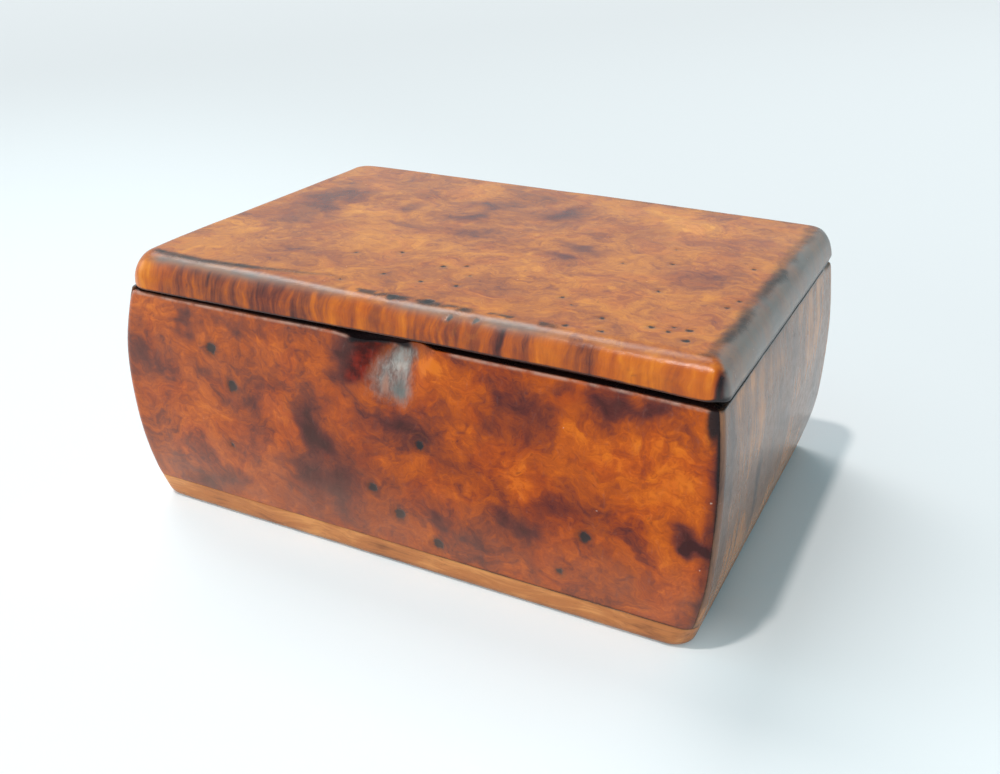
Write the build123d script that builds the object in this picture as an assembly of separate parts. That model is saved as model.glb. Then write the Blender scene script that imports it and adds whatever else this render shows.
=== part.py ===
from build123d import *
from math import radians, tan
import os

# Small burr-wood snuff box, closed. Millimetres, +Z up, origin at the middle of the underside.
# -Y is the front, with the thumb scoop; the hinge runs along X at the back.

# ---- driving dimensions -------------------------------------------------------------------------
HEIGHT = 39.0            # table to the top of the lid
RIM_Z = 33.95            # top of the four walls
LID_Z = 34.05            # underside of the lid's edge
AXIS_Z = 34.0            # height of the hinge axis
BASE_T = 3.5             # thickness of the base board

# outer half sizes of the barrel-shaped body, at 0, 1/4, 1/2, 3/4 and 1 of the wall height
X_RIGHT = [42.60, 44.50, 45.05, 44.96, 44.05]
X_LEFT = [41.60, 44.05, 45.05, 44.84, 42.75]
Y_FRONT = [29.80, 30.60, 30.84, 30.66, 30.15]
Y_BACK = [30.70, 30.84, 30.84, 30.66, 30.20]
RIM_EASE = 0.3           # worn edge of the front rim
ARRIS_R = 1.7            # rounding of the upright arrises
FOOT_R = 1.3             # rounding of the base board's lower edge

# cavity, between the inner faces of the four boards
CAV_X0, CAV_X1 = -38.6, 39.6
CAV_Y = 26.0

# lid
LID_X0, LID_X1 = -43.51, 44.49
LID_YF, LID_YB = 30.34, 30.20
LID_CORNER_R = 4.2       # plan rounding of three of the lid's corners
LID_CORNER_CRISP = 2.2   # and of the front right one, which has stayed crisper
LID_END_H, LID_END_V = 3.0, 4.4      # quarter-ellipse rounding of the lid's ends, across and up
LID_FRONT_R = 2.3        # rounding of the lid's front and rear top edges
FIELD_GAP = 0.4          # clearance between the locating field and the walls
FIELD_DROP = 1.3         # depth of the locating field below the lid's edge
DISH_MARGIN = 3.2        # width of the field's border round the dished middle
DISH_Z = 36.2            # ceiling of the dished middle
EASE_RISE = 0.75         # how far the lid's lower front edge is eased up, at its highest
EASE_DEPTH = 1.3

# thumb scoop in the front wall
SCOOP_X = 1.5
SCOOP_R = 10.7
SCOOP_FOOT_Z = 24.6
SCOOP_TILT = 15.3

# hinge
AXIS_Y = 29.05
V_HALF = 47.5            # half angle of the V-notch; the lid stops when it has closed
HINGE_X0, HINGE_X1 = -29.5, 30.5
KNUCKLES = 5
BARREL_R = 0.95
PIN_R = 0.40
BORE_R = 0.45
POCKET_R = 1.08
LEAF_T = 0.5
LEAF_Y0 = 26.4
KNUCKLE_GAP = 0.05       # at each end of a knuckle
NAIL_X = [-23.5, -11.5, 12.5, 24.5]
NAIL_Y = 27.15
NAIL_HEAD_R, NAIL_HEAD_H = 0.55, 0.30
NAIL_R, NAIL_L = 0.28, 3.2

# lining
FOIL_T = 0.25
FOIL_TOP_Z = 32.45
LID_FOIL_T = 0.2


def block(x0, x1, y0, y1, z0, z1):
    return Pos((x0 + x1) / 2, (y0 + y1) / 2, (z0 + z1) / 2) * Box(x1 - x0, y1 - y0, z1 - z0)


def one(shape):
    """The single solid of a cut or a fuse."""
    solids = shape.solids()
    assert len(solids) == 1, len(solids)
    return solids[0]


def prism(plane, face, half):
    """A face drawn on a plane through the origin, made half as long each way along its normal."""
    return extrude(plane.offset(-half) * face, 2 * half)


def profile_face(low, high):
    """Closed outline, bulging on both sides, with straight top and bottom."""
    zs = [RIM_Z * k / 4 for k in range(5)]
    right = Spline(*[(h, z) for h, z in zip(high, zs)])
    left = Spline(*[(-h, z) for h, z in zip(low, zs)])
    bottom = Line((-low[0], 0), (high[0], 0))
    top = Line((-low[-1], zs[-1]), (high[-1], zs[-1]))
    return make_face(Curve() + [bottom, right, top, left])


# ---- the body's outer form ----------------------------------------------------------------------
side = prism(Plane.XZ, profile_face(X_LEFT, X_RIGHT), 45)
# Plane.YZ has local x along +Y, so "low" is the front and "high" the back
end = prism(Plane.YZ, profile_face(Y_FRONT, Y_BACK), 60)
outer = one(side & end)
upright = [
    e for e in outer.edges()
    if e.bounding_box().size.Z > 20
]
assert len(upright) == 4, len(upright)
outer = one(fillet(upright, ARRIS_R))
foot = [e for e in outer.edges() if e.bounding_box().max.Z < 0.01]
outer = one(fillet(foot, FOOT_R))

base_board = one(outer & block(-60, 60, -60, 60, -1, BASE_T))
ring = outer & block(-60, 60, -60, 60, BASE_T, RIM_Z)
ring = one(ring - block(CAV_X0, CAV_X1, -CAV_Y, CAV_Y, 0, 60))


def wedge(corners):
    return extrude(Plane.XY.offset(-1) * make_face(Polyline(*corners, close=True)), 60)


K = 12
c_fl, c_fr = (CAV_X0, -CAV_Y), (CAV_X1, -CAV_Y)
c_bl, c_br = (CAV_X0, CAV_Y), (CAV_X1, CAV_Y)
o_fl, o_fr = (CAV_X0 - K, -CAV_Y - K), (CAV_X1 + K, -CAV_Y - K)
o_bl, o_br = (CAV_X0 - K, CAV_Y + K), (CAV_X1 + K, CAV_Y + K)
front_wall = one(ring & wedge([c_fl, c_fr, o_fr, o_fl]))
back_wall = one(ring & wedge([c_bl, o_bl, o_br, c_br]))
left_end_wall = one(ring & wedge([c_fl, o_fl, o_bl, c_bl]))
right_end_wall = one(ring & wedge([c_fr, c_br, o_br, o_fr]))

# thumb scoop: a leaning cylinder, deepest at the rim
scoop = (
    Pos(SCOOP_X, -Y_FRONT[3], SCOOP_FOOT_Z)
    * Rot(-SCOOP_TILT, 0, 0)
    * Pos(0, -SCOOP_R, 0)
    * Cylinder(SCOOP_R, 60)
)
scoop = scoop & block(-20, 25, -60, -20, 20, 40)
front_wall = one(front_wall - scoop)
# worn edge along the front rim
y_ease = -Y_FRONT[-1] + RIM_EASE
ease_tri = make_face(Polyline((y_ease, RIM_Z), (y_ease, RIM_Z + 1), (y_ease - 1.6, RIM_Z + 1),
                              (y_ease - 1.6, RIM_Z - 1.6), close=True))
front_wall = one(front_wall - prism(Plane.YZ, ease_tri, 60))


# ---- hinge --------------------------------------------------------------------------------------
def along_x(radius, x0, x1, y=AXIS_Y, z=AXIS_Z):
    return Pos((x0 + x1) / 2, y, z) * Rot(0, 90, 0) * Cylinder(radius, x1 - x0)


def v_cut(z0, up):
    """The wedge that chamfers a rear edge, from the axis line outwards."""
    reach = 3.0
    rise = reach * tan(radians(V_HALF)) * (1 if up else -1)
    tri = make_face(Polyline((AXIS_Y, z0), (AXIS_Y + reach, z0 + rise),
                             (AXIS_Y + reach, z0), close=True))
    return prism(Plane.YZ, tri, 60)


barrel_pocket = along_x(POCKET_R, HINGE_X0 - 0.25, HINGE_X1 + 0.25)
back_wall = back_wall - v_cut(RIM_Z, False) - barrel_pocket
left_end_wall = one(left_end_wall - v_cut(RIM_Z, False))
right_end_wall = one(right_end_wall - v_cut(RIM_Z, False))
back_wall = back_wall - block(HINGE_X0 - 0.05, HINGE_X1 + 0.05, LEAF_Y0 - 0.05, AXIS_Y,
                              RIM_Z - LEAF_T, RIM_Z + 1)

pitch = (HINGE_X1 - HINGE_X0) / KNUCKLES
spans = [(HINGE_X0 + pitch * k + KNUCKLE_GAP, HINGE_X0 + pitch * (k + 1) - KNUCKLE_GAP)
         for k in range(KNUCKLES)]


def nail_at(x, z_face, up, grow=0.0):
    """Countersunk nail, its head flush with the leaf's face; grow widens it into its hole."""
    s = 1 if up else -1
    head = Pos(x, NAIL_Y, z_face + s * NAIL_HEAD_H / 2) * Cone(
        (NAIL_HEAD_R if up else NAIL_R) + grow, (NAIL_R if up else NAIL_HEAD_R) + grow, NAIL_HEAD_H)
    shank = Pos(x, NAIL_Y, z_face + s * (NAIL_HEAD_H + NAIL_L) / 2) * Cylinder(
        NAIL_R + grow, NAIL_HEAD_H + NAIL_L + 2 * grow)
    return head + shank


def leaf(z0, z1, z_face, up, own):
    plate = block(HINGE_X0, HINGE_X1, LEAF_Y0, AXIS_Y, z0, z1)
    for k, (a, b) in enumerate(spans):
        if k not in own:
            plate = plate - along_x(POCKET_R, a - 2 * KNUCKLE_GAP, b + 2 * KNUCKLE_GAP)
    for k in own:
        plate = plate + along_x(BARREL_R, *spans[k])
    # the plate runs up to the pin only inside its own knuckles
    for k in own:
        a, b = spans[k]
        if k > 0:
            plate = plate - block(a - 4 * KNUCKLE_GAP, a, AXIS_Y - POCKET_R, AXIS_Y + 2, 32, 36)
        if k < KNUCKLES - 1:
            plate = plate - block(b, b + 4 * KNUCKLE_GAP, AXIS_Y - POCKET_R, AXIS_Y + 2, 32, 36)
    plate = plate - along_x(BORE_R, HINGE_X0 - 1, HINGE_X1 + 1)
    for x in NAIL_X:
        plate = plate - nail_at(x, z_face, up, 0.01)
    return one(plate)


hinge_leaf_body = leaf(RIM_Z - LEAF_T, RIM_Z, RIM_Z, False, [0, 2, 4])
hinge_leaf_lid = leaf(LID_Z, LID_Z + LEAF_T, LID_Z, True, [1, 3])
pin = along_x(PIN_R, HINGE_X0 - 0.1, HINGE_X1 + 0.1)
hinge_pin = one(chamfer(pin.edges().filter_by(GeomType.CIRCLE), 0.1))
nails_body = [one(nail_at(x, RIM_Z, False)) for x in NAIL_X]
nails_lid = [one(nail_at(x, LID_Z, True)) for x in NAIL_X]
for x in NAIL_X:
    back_wall = back_wall - nail_at(x, RIM_Z, False, 0.01)
back_wall = one(back_wall)


# ---- lid ----------------------------------------------------------------------------------------
def eased_face(a0, a1, across, up):
    """Outline of the lid from the front or the end, its two upper corners quarter ellipses."""
    edges = [
        Line((a0, LID_Z), (a1, LID_Z)),
        Line((a1, LID_Z), (a1, HEIGHT - up)),
        Line((a1 - across, HEIGHT), (a0 + across, HEIGHT)),
        Line((a0, HEIGHT - up), (a0, LID_Z)),
    ]
    right = EllipticalCenterArc((a1 - across, HEIGHT - up), across, up, 0, arc_size=90)
    left = EllipticalCenterArc((a0 + across, HEIGHT - up), across, up, 90, arc_size=90)
    return make_face(Curve() + edges + [right, left])


board = prism(Plane.XZ, eased_face(LID_X0, LID_X1, LID_END_H, LID_END_V), 45)
board = board & prism(Plane.YZ, eased_face(-LID_YF, LID_YB, LID_FRONT_R, LID_FRONT_R), 60)
plan = Pos((LID_X0 + LID_X1) / 2, (LID_YB - LID_YF) / 2) * Rectangle(
    LID_X1 - LID_X0, LID_YB + LID_YF)
plan = fillet(plan.vertices().group_by(Axis.X)[0], LID_CORNER_R)
plan = fillet(plan.vertices().group_by(Axis.X)[-1].sort_by(Axis.Y)[-1], LID_CORNER_R)
plan = fillet(plan.vertices().group_by(Axis.X)[-1].sort_by(Axis.Y)[0], LID_CORNER_CRISP)
board = one(board & extrude(Plane.XY.offset(30) * plan, 12))

field = block(CAV_X0 + FIELD_GAP, CAV_X1 - FIELD_GAP, -CAV_Y + FIELD_GAP, CAV_Y - FIELD_GAP,
              LID_Z - FIELD_DROP, LID_Z + 0.5)
field = chamfer(field.faces().sort_by(Axis.Z)[0].edges(), 0.3)
DX0, DX1 = CAV_X0 + FIELD_GAP + DISH_MARGIN, CAV_X1 - FIELD_GAP - DISH_MARGIN
DY = CAV_Y - FIELD_GAP - DISH_MARGIN
dish = block(DX0, DX1, -DY, DY, 30, DISH_Z)
lid = board + field - dish
# the lower front edge is worn up in a long shallow curve
ease = make_face(Curve() + [
    ThreePointArc((-38, LID_Z), (12, LID_Z + EASE_RISE), (50, LID_Z + 0.35)),
    Line((50, LID_Z + 0.35), (50, LID_Z - 0.5)),
    Line((50, LID_Z - 0.5), (-38, LID_Z - 0.5)),
    Line((-38, LID_Z - 0.5), (-38, LID_Z)),
])
lid = lid - Pos(0, -LID_YF + EASE_DEPTH, 0) * extrude(Plane.XZ * ease, 5)
lid = lid - v_cut(LID_Z, True) - barrel_pocket
lid = lid - block(HINGE_X0 - 0.05, HINGE_X1 + 0.05, LEAF_Y0 - 0.05, AXIS_Y, LID_Z - 0.04,
                  LID_Z + LEAF_T)
for x in NAIL_X:
    lid = lid - nail_at(x, LID_Z, True, 0.01)
lid = one(lid)

# ---- linings ------------------------------------------------------------------------------------
foil_lining_body = one(
    block(CAV_X0, CAV_X1, -CAV_Y, CAV_Y, BASE_T, FOIL_TOP_Z)
    - block(CAV_X0 + FOIL_T, CAV_X1 - FOIL_T, -CAV_Y + FOIL_T, CAV_Y - FOIL_T,
            BASE_T + FOIL_T, 60))
foil_lining_lid = one(
    block(DX0, DX1, -DY, DY, LID_Z - FIELD_DROP + 0.4, DISH_Z)
    - block(DX0 + LID_FOIL_T, DX1 - LID_FOIL_T, -DY + LID_FOIL_T, DY - LID_FOIL_T,
            30, DISH_Z - LID_FOIL_T))

parts = {
    "front_wall": front_wall,
    "back_wall": back_wall,
    "left_end_wall": left_end_wall,
    "right_end_wall": right_end_wall,
    "base_board": base_board,
    "lid": lid,
    "hinge_leaf_body": hinge_leaf_body,
    "hinge_leaf_lid": hinge_leaf_lid,
    "hinge_pin": hinge_pin,
    "hinge_nails_body": Compound(children=nails_body),
    "hinge_nails_lid": Compound(children=nails_lid),
    "foil_lining_body": foil_lining_body,
    "foil_lining_lid": foil_lining_lid,
}
os.makedirs("parts", exist_ok=True)
for name, shape in parts.items():
    export_step(shape, f"parts/{name}.step")
    size = shape.bounding_box().size
    print(name, round(shape.volume, 1), round(size.X, 2), round(size.Y, 2), round(size.Z, 2))
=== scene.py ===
import math

import bmesh
import bpy
import numpy as np
from mathutils import Matrix, Vector, noise


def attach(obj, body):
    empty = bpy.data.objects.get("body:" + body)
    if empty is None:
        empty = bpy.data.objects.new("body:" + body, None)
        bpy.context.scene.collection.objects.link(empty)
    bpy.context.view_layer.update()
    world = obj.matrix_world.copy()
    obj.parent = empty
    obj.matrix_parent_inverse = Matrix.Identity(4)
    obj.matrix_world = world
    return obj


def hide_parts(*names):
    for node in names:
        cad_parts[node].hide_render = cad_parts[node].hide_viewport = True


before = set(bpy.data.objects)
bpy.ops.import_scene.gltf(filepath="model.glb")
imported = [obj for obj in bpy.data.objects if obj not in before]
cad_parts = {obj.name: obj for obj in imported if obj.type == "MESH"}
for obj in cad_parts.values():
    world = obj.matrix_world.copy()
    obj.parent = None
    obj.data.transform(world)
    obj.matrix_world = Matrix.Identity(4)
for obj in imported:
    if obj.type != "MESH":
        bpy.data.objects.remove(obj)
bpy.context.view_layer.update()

# =================================================================================================
# sizes in millimetres, the same numbers as the construction
# =================================================================================================
MM = 0.001
HEIGHT, RIM_Z, LID_Z, AXIS_Z, BASE_T = 39.0, 33.95, 34.05, 34.0, 3.5
KNOT_Z = [RIM_Z * k / 4 for k in range(5)]
X_RIGHT = [42.60, 44.50, 45.05, 44.96, 44.05]
X_LEFT = [41.60, 44.05, 45.05, 44.84, 42.75]
Y_FRONT = [29.80, 30.60, 30.84, 30.66, 30.15]
Y_BACK = [30.70, 30.84, 30.84, 30.66, 30.20]
ARRIS_R, FOOT_R = 1.7, 1.3
CAV_X0, CAV_X1, CAV_Y = -38.6, 39.6, 26.0
LID_X0, LID_X1, LID_YF, LID_YB = -43.51, 44.49, 30.34, 30.20
LID_CORNER_R, LID_CORNER_CRISP = 4.2, 2.2
LID_END_H, LID_END_V, LID_FRONT_R = 3.0, 4.4, 2.3
FIELD_GAP, FIELD_DROP, DISH_MARGIN, DISH_Z = 0.4, 1.3, 3.2, 36.2
SCOOP_X, SCOOP_R, SCOOP_FOOT_Z, SCOOP_TILT = 1.5, 10.7, 24.6, math.radians(15.3)
AXIS_Y, V_SLOPE = 29.05, math.tan(math.radians(47.5))
HINGE_X0, HINGE_X1, POCKET_R, LEAF_T, LEAF_Y0 = -29.5, 30.5, 1.08, 0.5, 26.4
FOIL_T, FOIL_TOP_Z, LID_FOIL_T = 0.25, 32.45, 0.2
SKIN = 0.03              # the looks stay this far inside the construction's outline


# =================================================================================================
# small numeric helpers
# =================================================================================================
def spline(xs, ys):
    """Natural cubic spline through the points, as a function of an array."""
    xs, ys = np.array(xs, float), np.array(ys, float)
    n = len(xs)
    h = np.diff(xs)
    a = np.zeros((n, n))
    b = np.zeros(n)
    a[0, 0] = a[-1, -1] = 1
    for i in range(1, n - 1):
        a[i, i - 1], a[i, i], a[i, i + 1] = h[i - 1], 2 * (h[i - 1] + h[i]), h[i]
        b[i] = 6 * ((ys[i + 1] - ys[i]) / h[i] - (ys[i] - ys[i - 1]) / h[i - 1])
    m = np.linalg.solve(a, b)

    def f(x):
        x = np.clip(np.asarray(x, float), xs[0], xs[-1])
        i = np.clip(np.searchsorted(xs, x) - 1, 0, n - 2)
        t0, t1 = xs[i + 1] - x, x - xs[i]
        return (m[i] * t0**3 + m[i + 1] * t1**3) / (6 * h[i]) + (
            ys[i] / h[i] - m[i] * h[i] / 6) * t0 + (ys[i + 1] / h[i] - m[i + 1] * h[i] / 6) * t1

    return f


xr_at, xl_at = spline(KNOT_Z, X_RIGHT), spline(KNOT_Z, X_LEFT)
yf_at, yb_at = spline(KNOT_Z, Y_FRONT), spline(KNOT_Z, Y_BACK)


def fbm(p, scale, seed=0.0, octaves=3):
    """Smooth noise, about -1 to 1, at points in mm; scale is the size of a lump in mm."""
    out = np.empty(len(p))
    k = 1.0 / scale
    off = Vector((seed * 17.31 + 3.7, seed * 5.13 - 8.1, seed * 9.77 + 1.9))
    for i, q in enumerate(p):
        out[i] = noise.fractal(Vector(q) * k + off, 1.0, 2.0, octaves)
    return out


def smooth(a, b, x):
    t = np.clip((x - a) / (b - a), 0, 1)
    return t * t * (3 - 2 * t)


def soft_max(a, b, k):
    h = np.clip(0.5 + 0.5 * (a - b) / k, 0, 1)
    return b + (a - b) * h + k * h * (1 - h)


def lines(lo, hi, step, edge=(), marks=(), gap=0.02):
    """Grid lines from lo to hi: even steps, extra ones at the distances `edge` from both ends, and
    at the marks. Steps too near a special line are dropped."""
    special = {round(lo, 5), round(hi, 5)}
    for e in edge:
        special |= {round(lo + e, 5), round(hi - e, 5)}
    special |= {round(m, 5) for m in marks if lo < m < hi}
    special = sorted(special)
    keep = [special[0]]
    for s in special[1:]:
        if s - keep[-1] >= gap:
            keep.append(s)
    keep[-1] = round(hi, 5)
    out = [keep[0]]
    for a, b in zip(keep, keep[1:]):
        n = max(1, int(round((b - a) / step)))
        out += [a + (b - a) * k / n for k in range(1, n + 1)]
    return np.array(out)


def shell(ns, nt, nw, skip=()):
    """Surface of a lattice: indices of its outer nodes, and its quads."""
    m = np.zeros((ns, nt, nw), bool)
    m[0] = m[-1] = True
    m[:, 0] = m[:, -1] = True
    m[:, :, 0] = m[:, :, -1] = True
    idx = -np.ones((ns, nt, nw), int)
    idx[m] = np.arange(m.sum())
    quads = []

    def add(name, a, flip):
        if name in skip:
            return
        q = np.stack([a[:-1, :-1], a[1:, :-1], a[1:, 1:], a[:-1, 1:]], -1).reshape(-1, 4)
        quads.append(q[:, ::-1] if flip else q)

    add("w0", idx[:, :, 0], True)
    add("w1", idx[:, :, -1], False)
    add("s0", idx[0], True)
    add("s1", idx[-1], False)
    add("t0", idx[:, 0, :], False)
    add("t1", idx[:, -1, :], True)
    return np.argwhere(m), np.concatenate(quads)


def round_box(p, size, r):
    """Points on the surface of a box from 0 to size, moved onto the same box with rounded edges."""
    q = np.clip(p, r, np.array(size) - r)
    d = p - q
    n = np.linalg.norm(d, axis=1)
    return np.where(n[:, None] > 1e-9, q + d * (r / np.maximum(n, 1e-9))[:, None], p)


def make(name, verts_mm, quads, body, replaces, material, attrs=None):
    """A mesh object from points in mm, riding on a body."""
    me = bpy.data.meshes.new(name)
    v = np.asarray(verts_mm, float) * MM
    me.from_pydata(v.tolist(), [], np.asarray(quads).tolist())
    for key, val in (attrs or {}).items():
        a = me.attributes.new(key, "FLOAT", "POINT")
        a.data.foreach_set("value", np.asarray(val, np.float32))
    bm = bmesh.new()
    bm.from_mesh(me)
    bmesh.ops.recalc_face_normals(bm, faces=bm.faces)
    bm.to_mesh(me)
    bm.free()
    me.polygons.foreach_set("use_smooth", [True] * len(me.polygons))
    me.update()
    ob = bpy.data.objects.new(name, me)
    bpy.context.scene.collection.objects.link(ob)
    me.materials.append(material)
    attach(ob, body)
    if replaces:
        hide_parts(*replaces)
    return ob


# =================================================================================================
# node helper
# =================================================================================================
class Graph:
    def __init__(self, name):
        self.mat = bpy.data.materials.new(name)
        self.mat.use_nodes = True
        self.nt = self.mat.node_tree
        self.nt.nodes.clear()

    def node(self, kind, inputs=None, **props):
        n = self.nt.nodes.new(kind)
        for k, v in props.items():
            setattr(n, k, v)
        for k, v in (inputs or {}).items():
            self.put(n.inputs[k], v)
        return n

    def put(self, sock, v):
        if hasattr(v, "links"):
            self.nt.links.new(v, sock)
        elif isinstance(v, (tuple, list)) and sock.type == "RGBA" and len(v) == 3:
            sock.default_value = (*v, 1)
        else:
            sock.default_value = v

    def math(self, op, a, b=0.0, c=0.0, clamp=False):
        n = self.node("ShaderNodeMath", {0: a, 1: b, 2: c}, operation=op, use_clamp=clamp)
        return n.outputs[0]

    def add(self, a, b):
        return self.math("ADD", a, b)

    def mul(self, a, b):
        return self.math("MULTIPLY", a, b)

    def vec(self, op, a, b=(0, 0, 0), scale=1.0):
        n = self.node("ShaderNodeVectorMath", {0: a, 1: b}, operation=op)
        if op == "SCALE":
            self.put(n.inputs["Scale"], scale)
        return n.outputs["Value"] if op in ("LENGTH", "DISTANCE", "DOT_PRODUCT") else n.outputs[0]

    def range(self, v, a, b, c=0.0, d=1.0, smooth=True):
        n = self.node("ShaderNodeMapRange", {0: v, 1: a, 2: b, 3: c, 4: d})
        n.interpolation_type = "SMOOTHSTEP" if smooth else "LINEAR"
        n.clamp = True
        return n.outputs[0]

    def noise(self, vec, scale, detail=3.0, rough=0.5, distort=0.0, colour=False, lac=2.0):
        n = self.node("ShaderNodeTexNoise", {
            "Vector": vec, "Scale": scale, "Detail": detail, "Roughness": rough,
            "Distortion": distort, "Lacunarity": lac})
        return n.outputs["Color"] if colour else n.outputs[0]

    def voronoi(self, vec, scale, feature="F1", rand=1.0):
        n = self.node("ShaderNodeTexVoronoi", {"Vector": vec, "Scale": scale, "Randomness": rand},
                      feature=feature)
        return n

    def ramp(self, v, stops, mode="EASE"):
        n = self.node("ShaderNodeValToRGB", {0: v})
        n.color_ramp.interpolation = mode
        els = n.color_ramp.elements
        while len(els) < len(stops):
            els.new(0.5)
        for e, (pos, col) in zip(els, stops):
            e.position = pos
            e.color = (*col, 1) if len(col) == 3 else col
        return n.outputs[0]

    def mix(self, fac, a, b, blend="MIX"):
        n = self.node("ShaderNodeMix", data_type="RGBA", blend_type=blend)
        n.clamp_factor = True
        self.put(n.inputs[0], fac)
        self.put(n.inputs[6], a)
        self.put(n.inputs[7], b)
        return n.outputs[2]

    def attr(self, name):
        return self.node("ShaderNodeAttribute", attribute_name=name).outputs["Fac"]

    def coords_mm(self):
        tc = self.node("ShaderNodeTexCoord")
        return self.vec("SCALE", tc.outputs["Object"], scale=1000.0)

    def xyz(self, v):
        s = self.node("ShaderNodeSeparateXYZ", {0: v})
        return s.outputs[0], s.outputs[1], s.outputs[2]

    def combine(self, x, y, z):
        return self.node("ShaderNodeCombineXYZ", {0: x, 1: y, 2: z}).outputs[0]

    def bump(self, height, strength, distance, normal=None):
        ins = {"Strength": strength, "Distance": distance, "Height": height}
        n = self.node("ShaderNodeBump", ins)
        if normal is not None:
            self.put(n.inputs["Normal"], normal)
        return n.outputs[0]

    def finish(self, colour, rough, normal=None, **sockets):
        p = self.node("ShaderNodeBsdfPrincipled")
        self.put(p.inputs["Base Color"], colour)
        self.put(p.inputs["Roughness"], rough)
        if normal is not None:
            self.put(p.inputs["Normal"], normal)
        for k, v in sockets.items():
            p.inputs[k.replace("_", " ")].default_value = v
        if normal is not None and sockets.get("Coat_Weight"):
            self.put(p.inputs["Coat Normal"], normal)
        out = self.node("ShaderNodeOutputMaterial")
        self.nt.links.new(p.outputs[0], out.inputs[0])
        return self.mat


# =================================================================================================
# materials
# =================================================================================================
def eyes_node(g, flat, marks):
    """Distance in mm from the rim of the nearest eye; negative inside it."""
    best = None
    for x, y, r in marks:
        d = g.math("SUBTRACT", g.vec("DISTANCE", flat, (x, y, 0.0)), r)
        best = d if best is None else g.math("MINIMUM", best, d)
    return best


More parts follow.
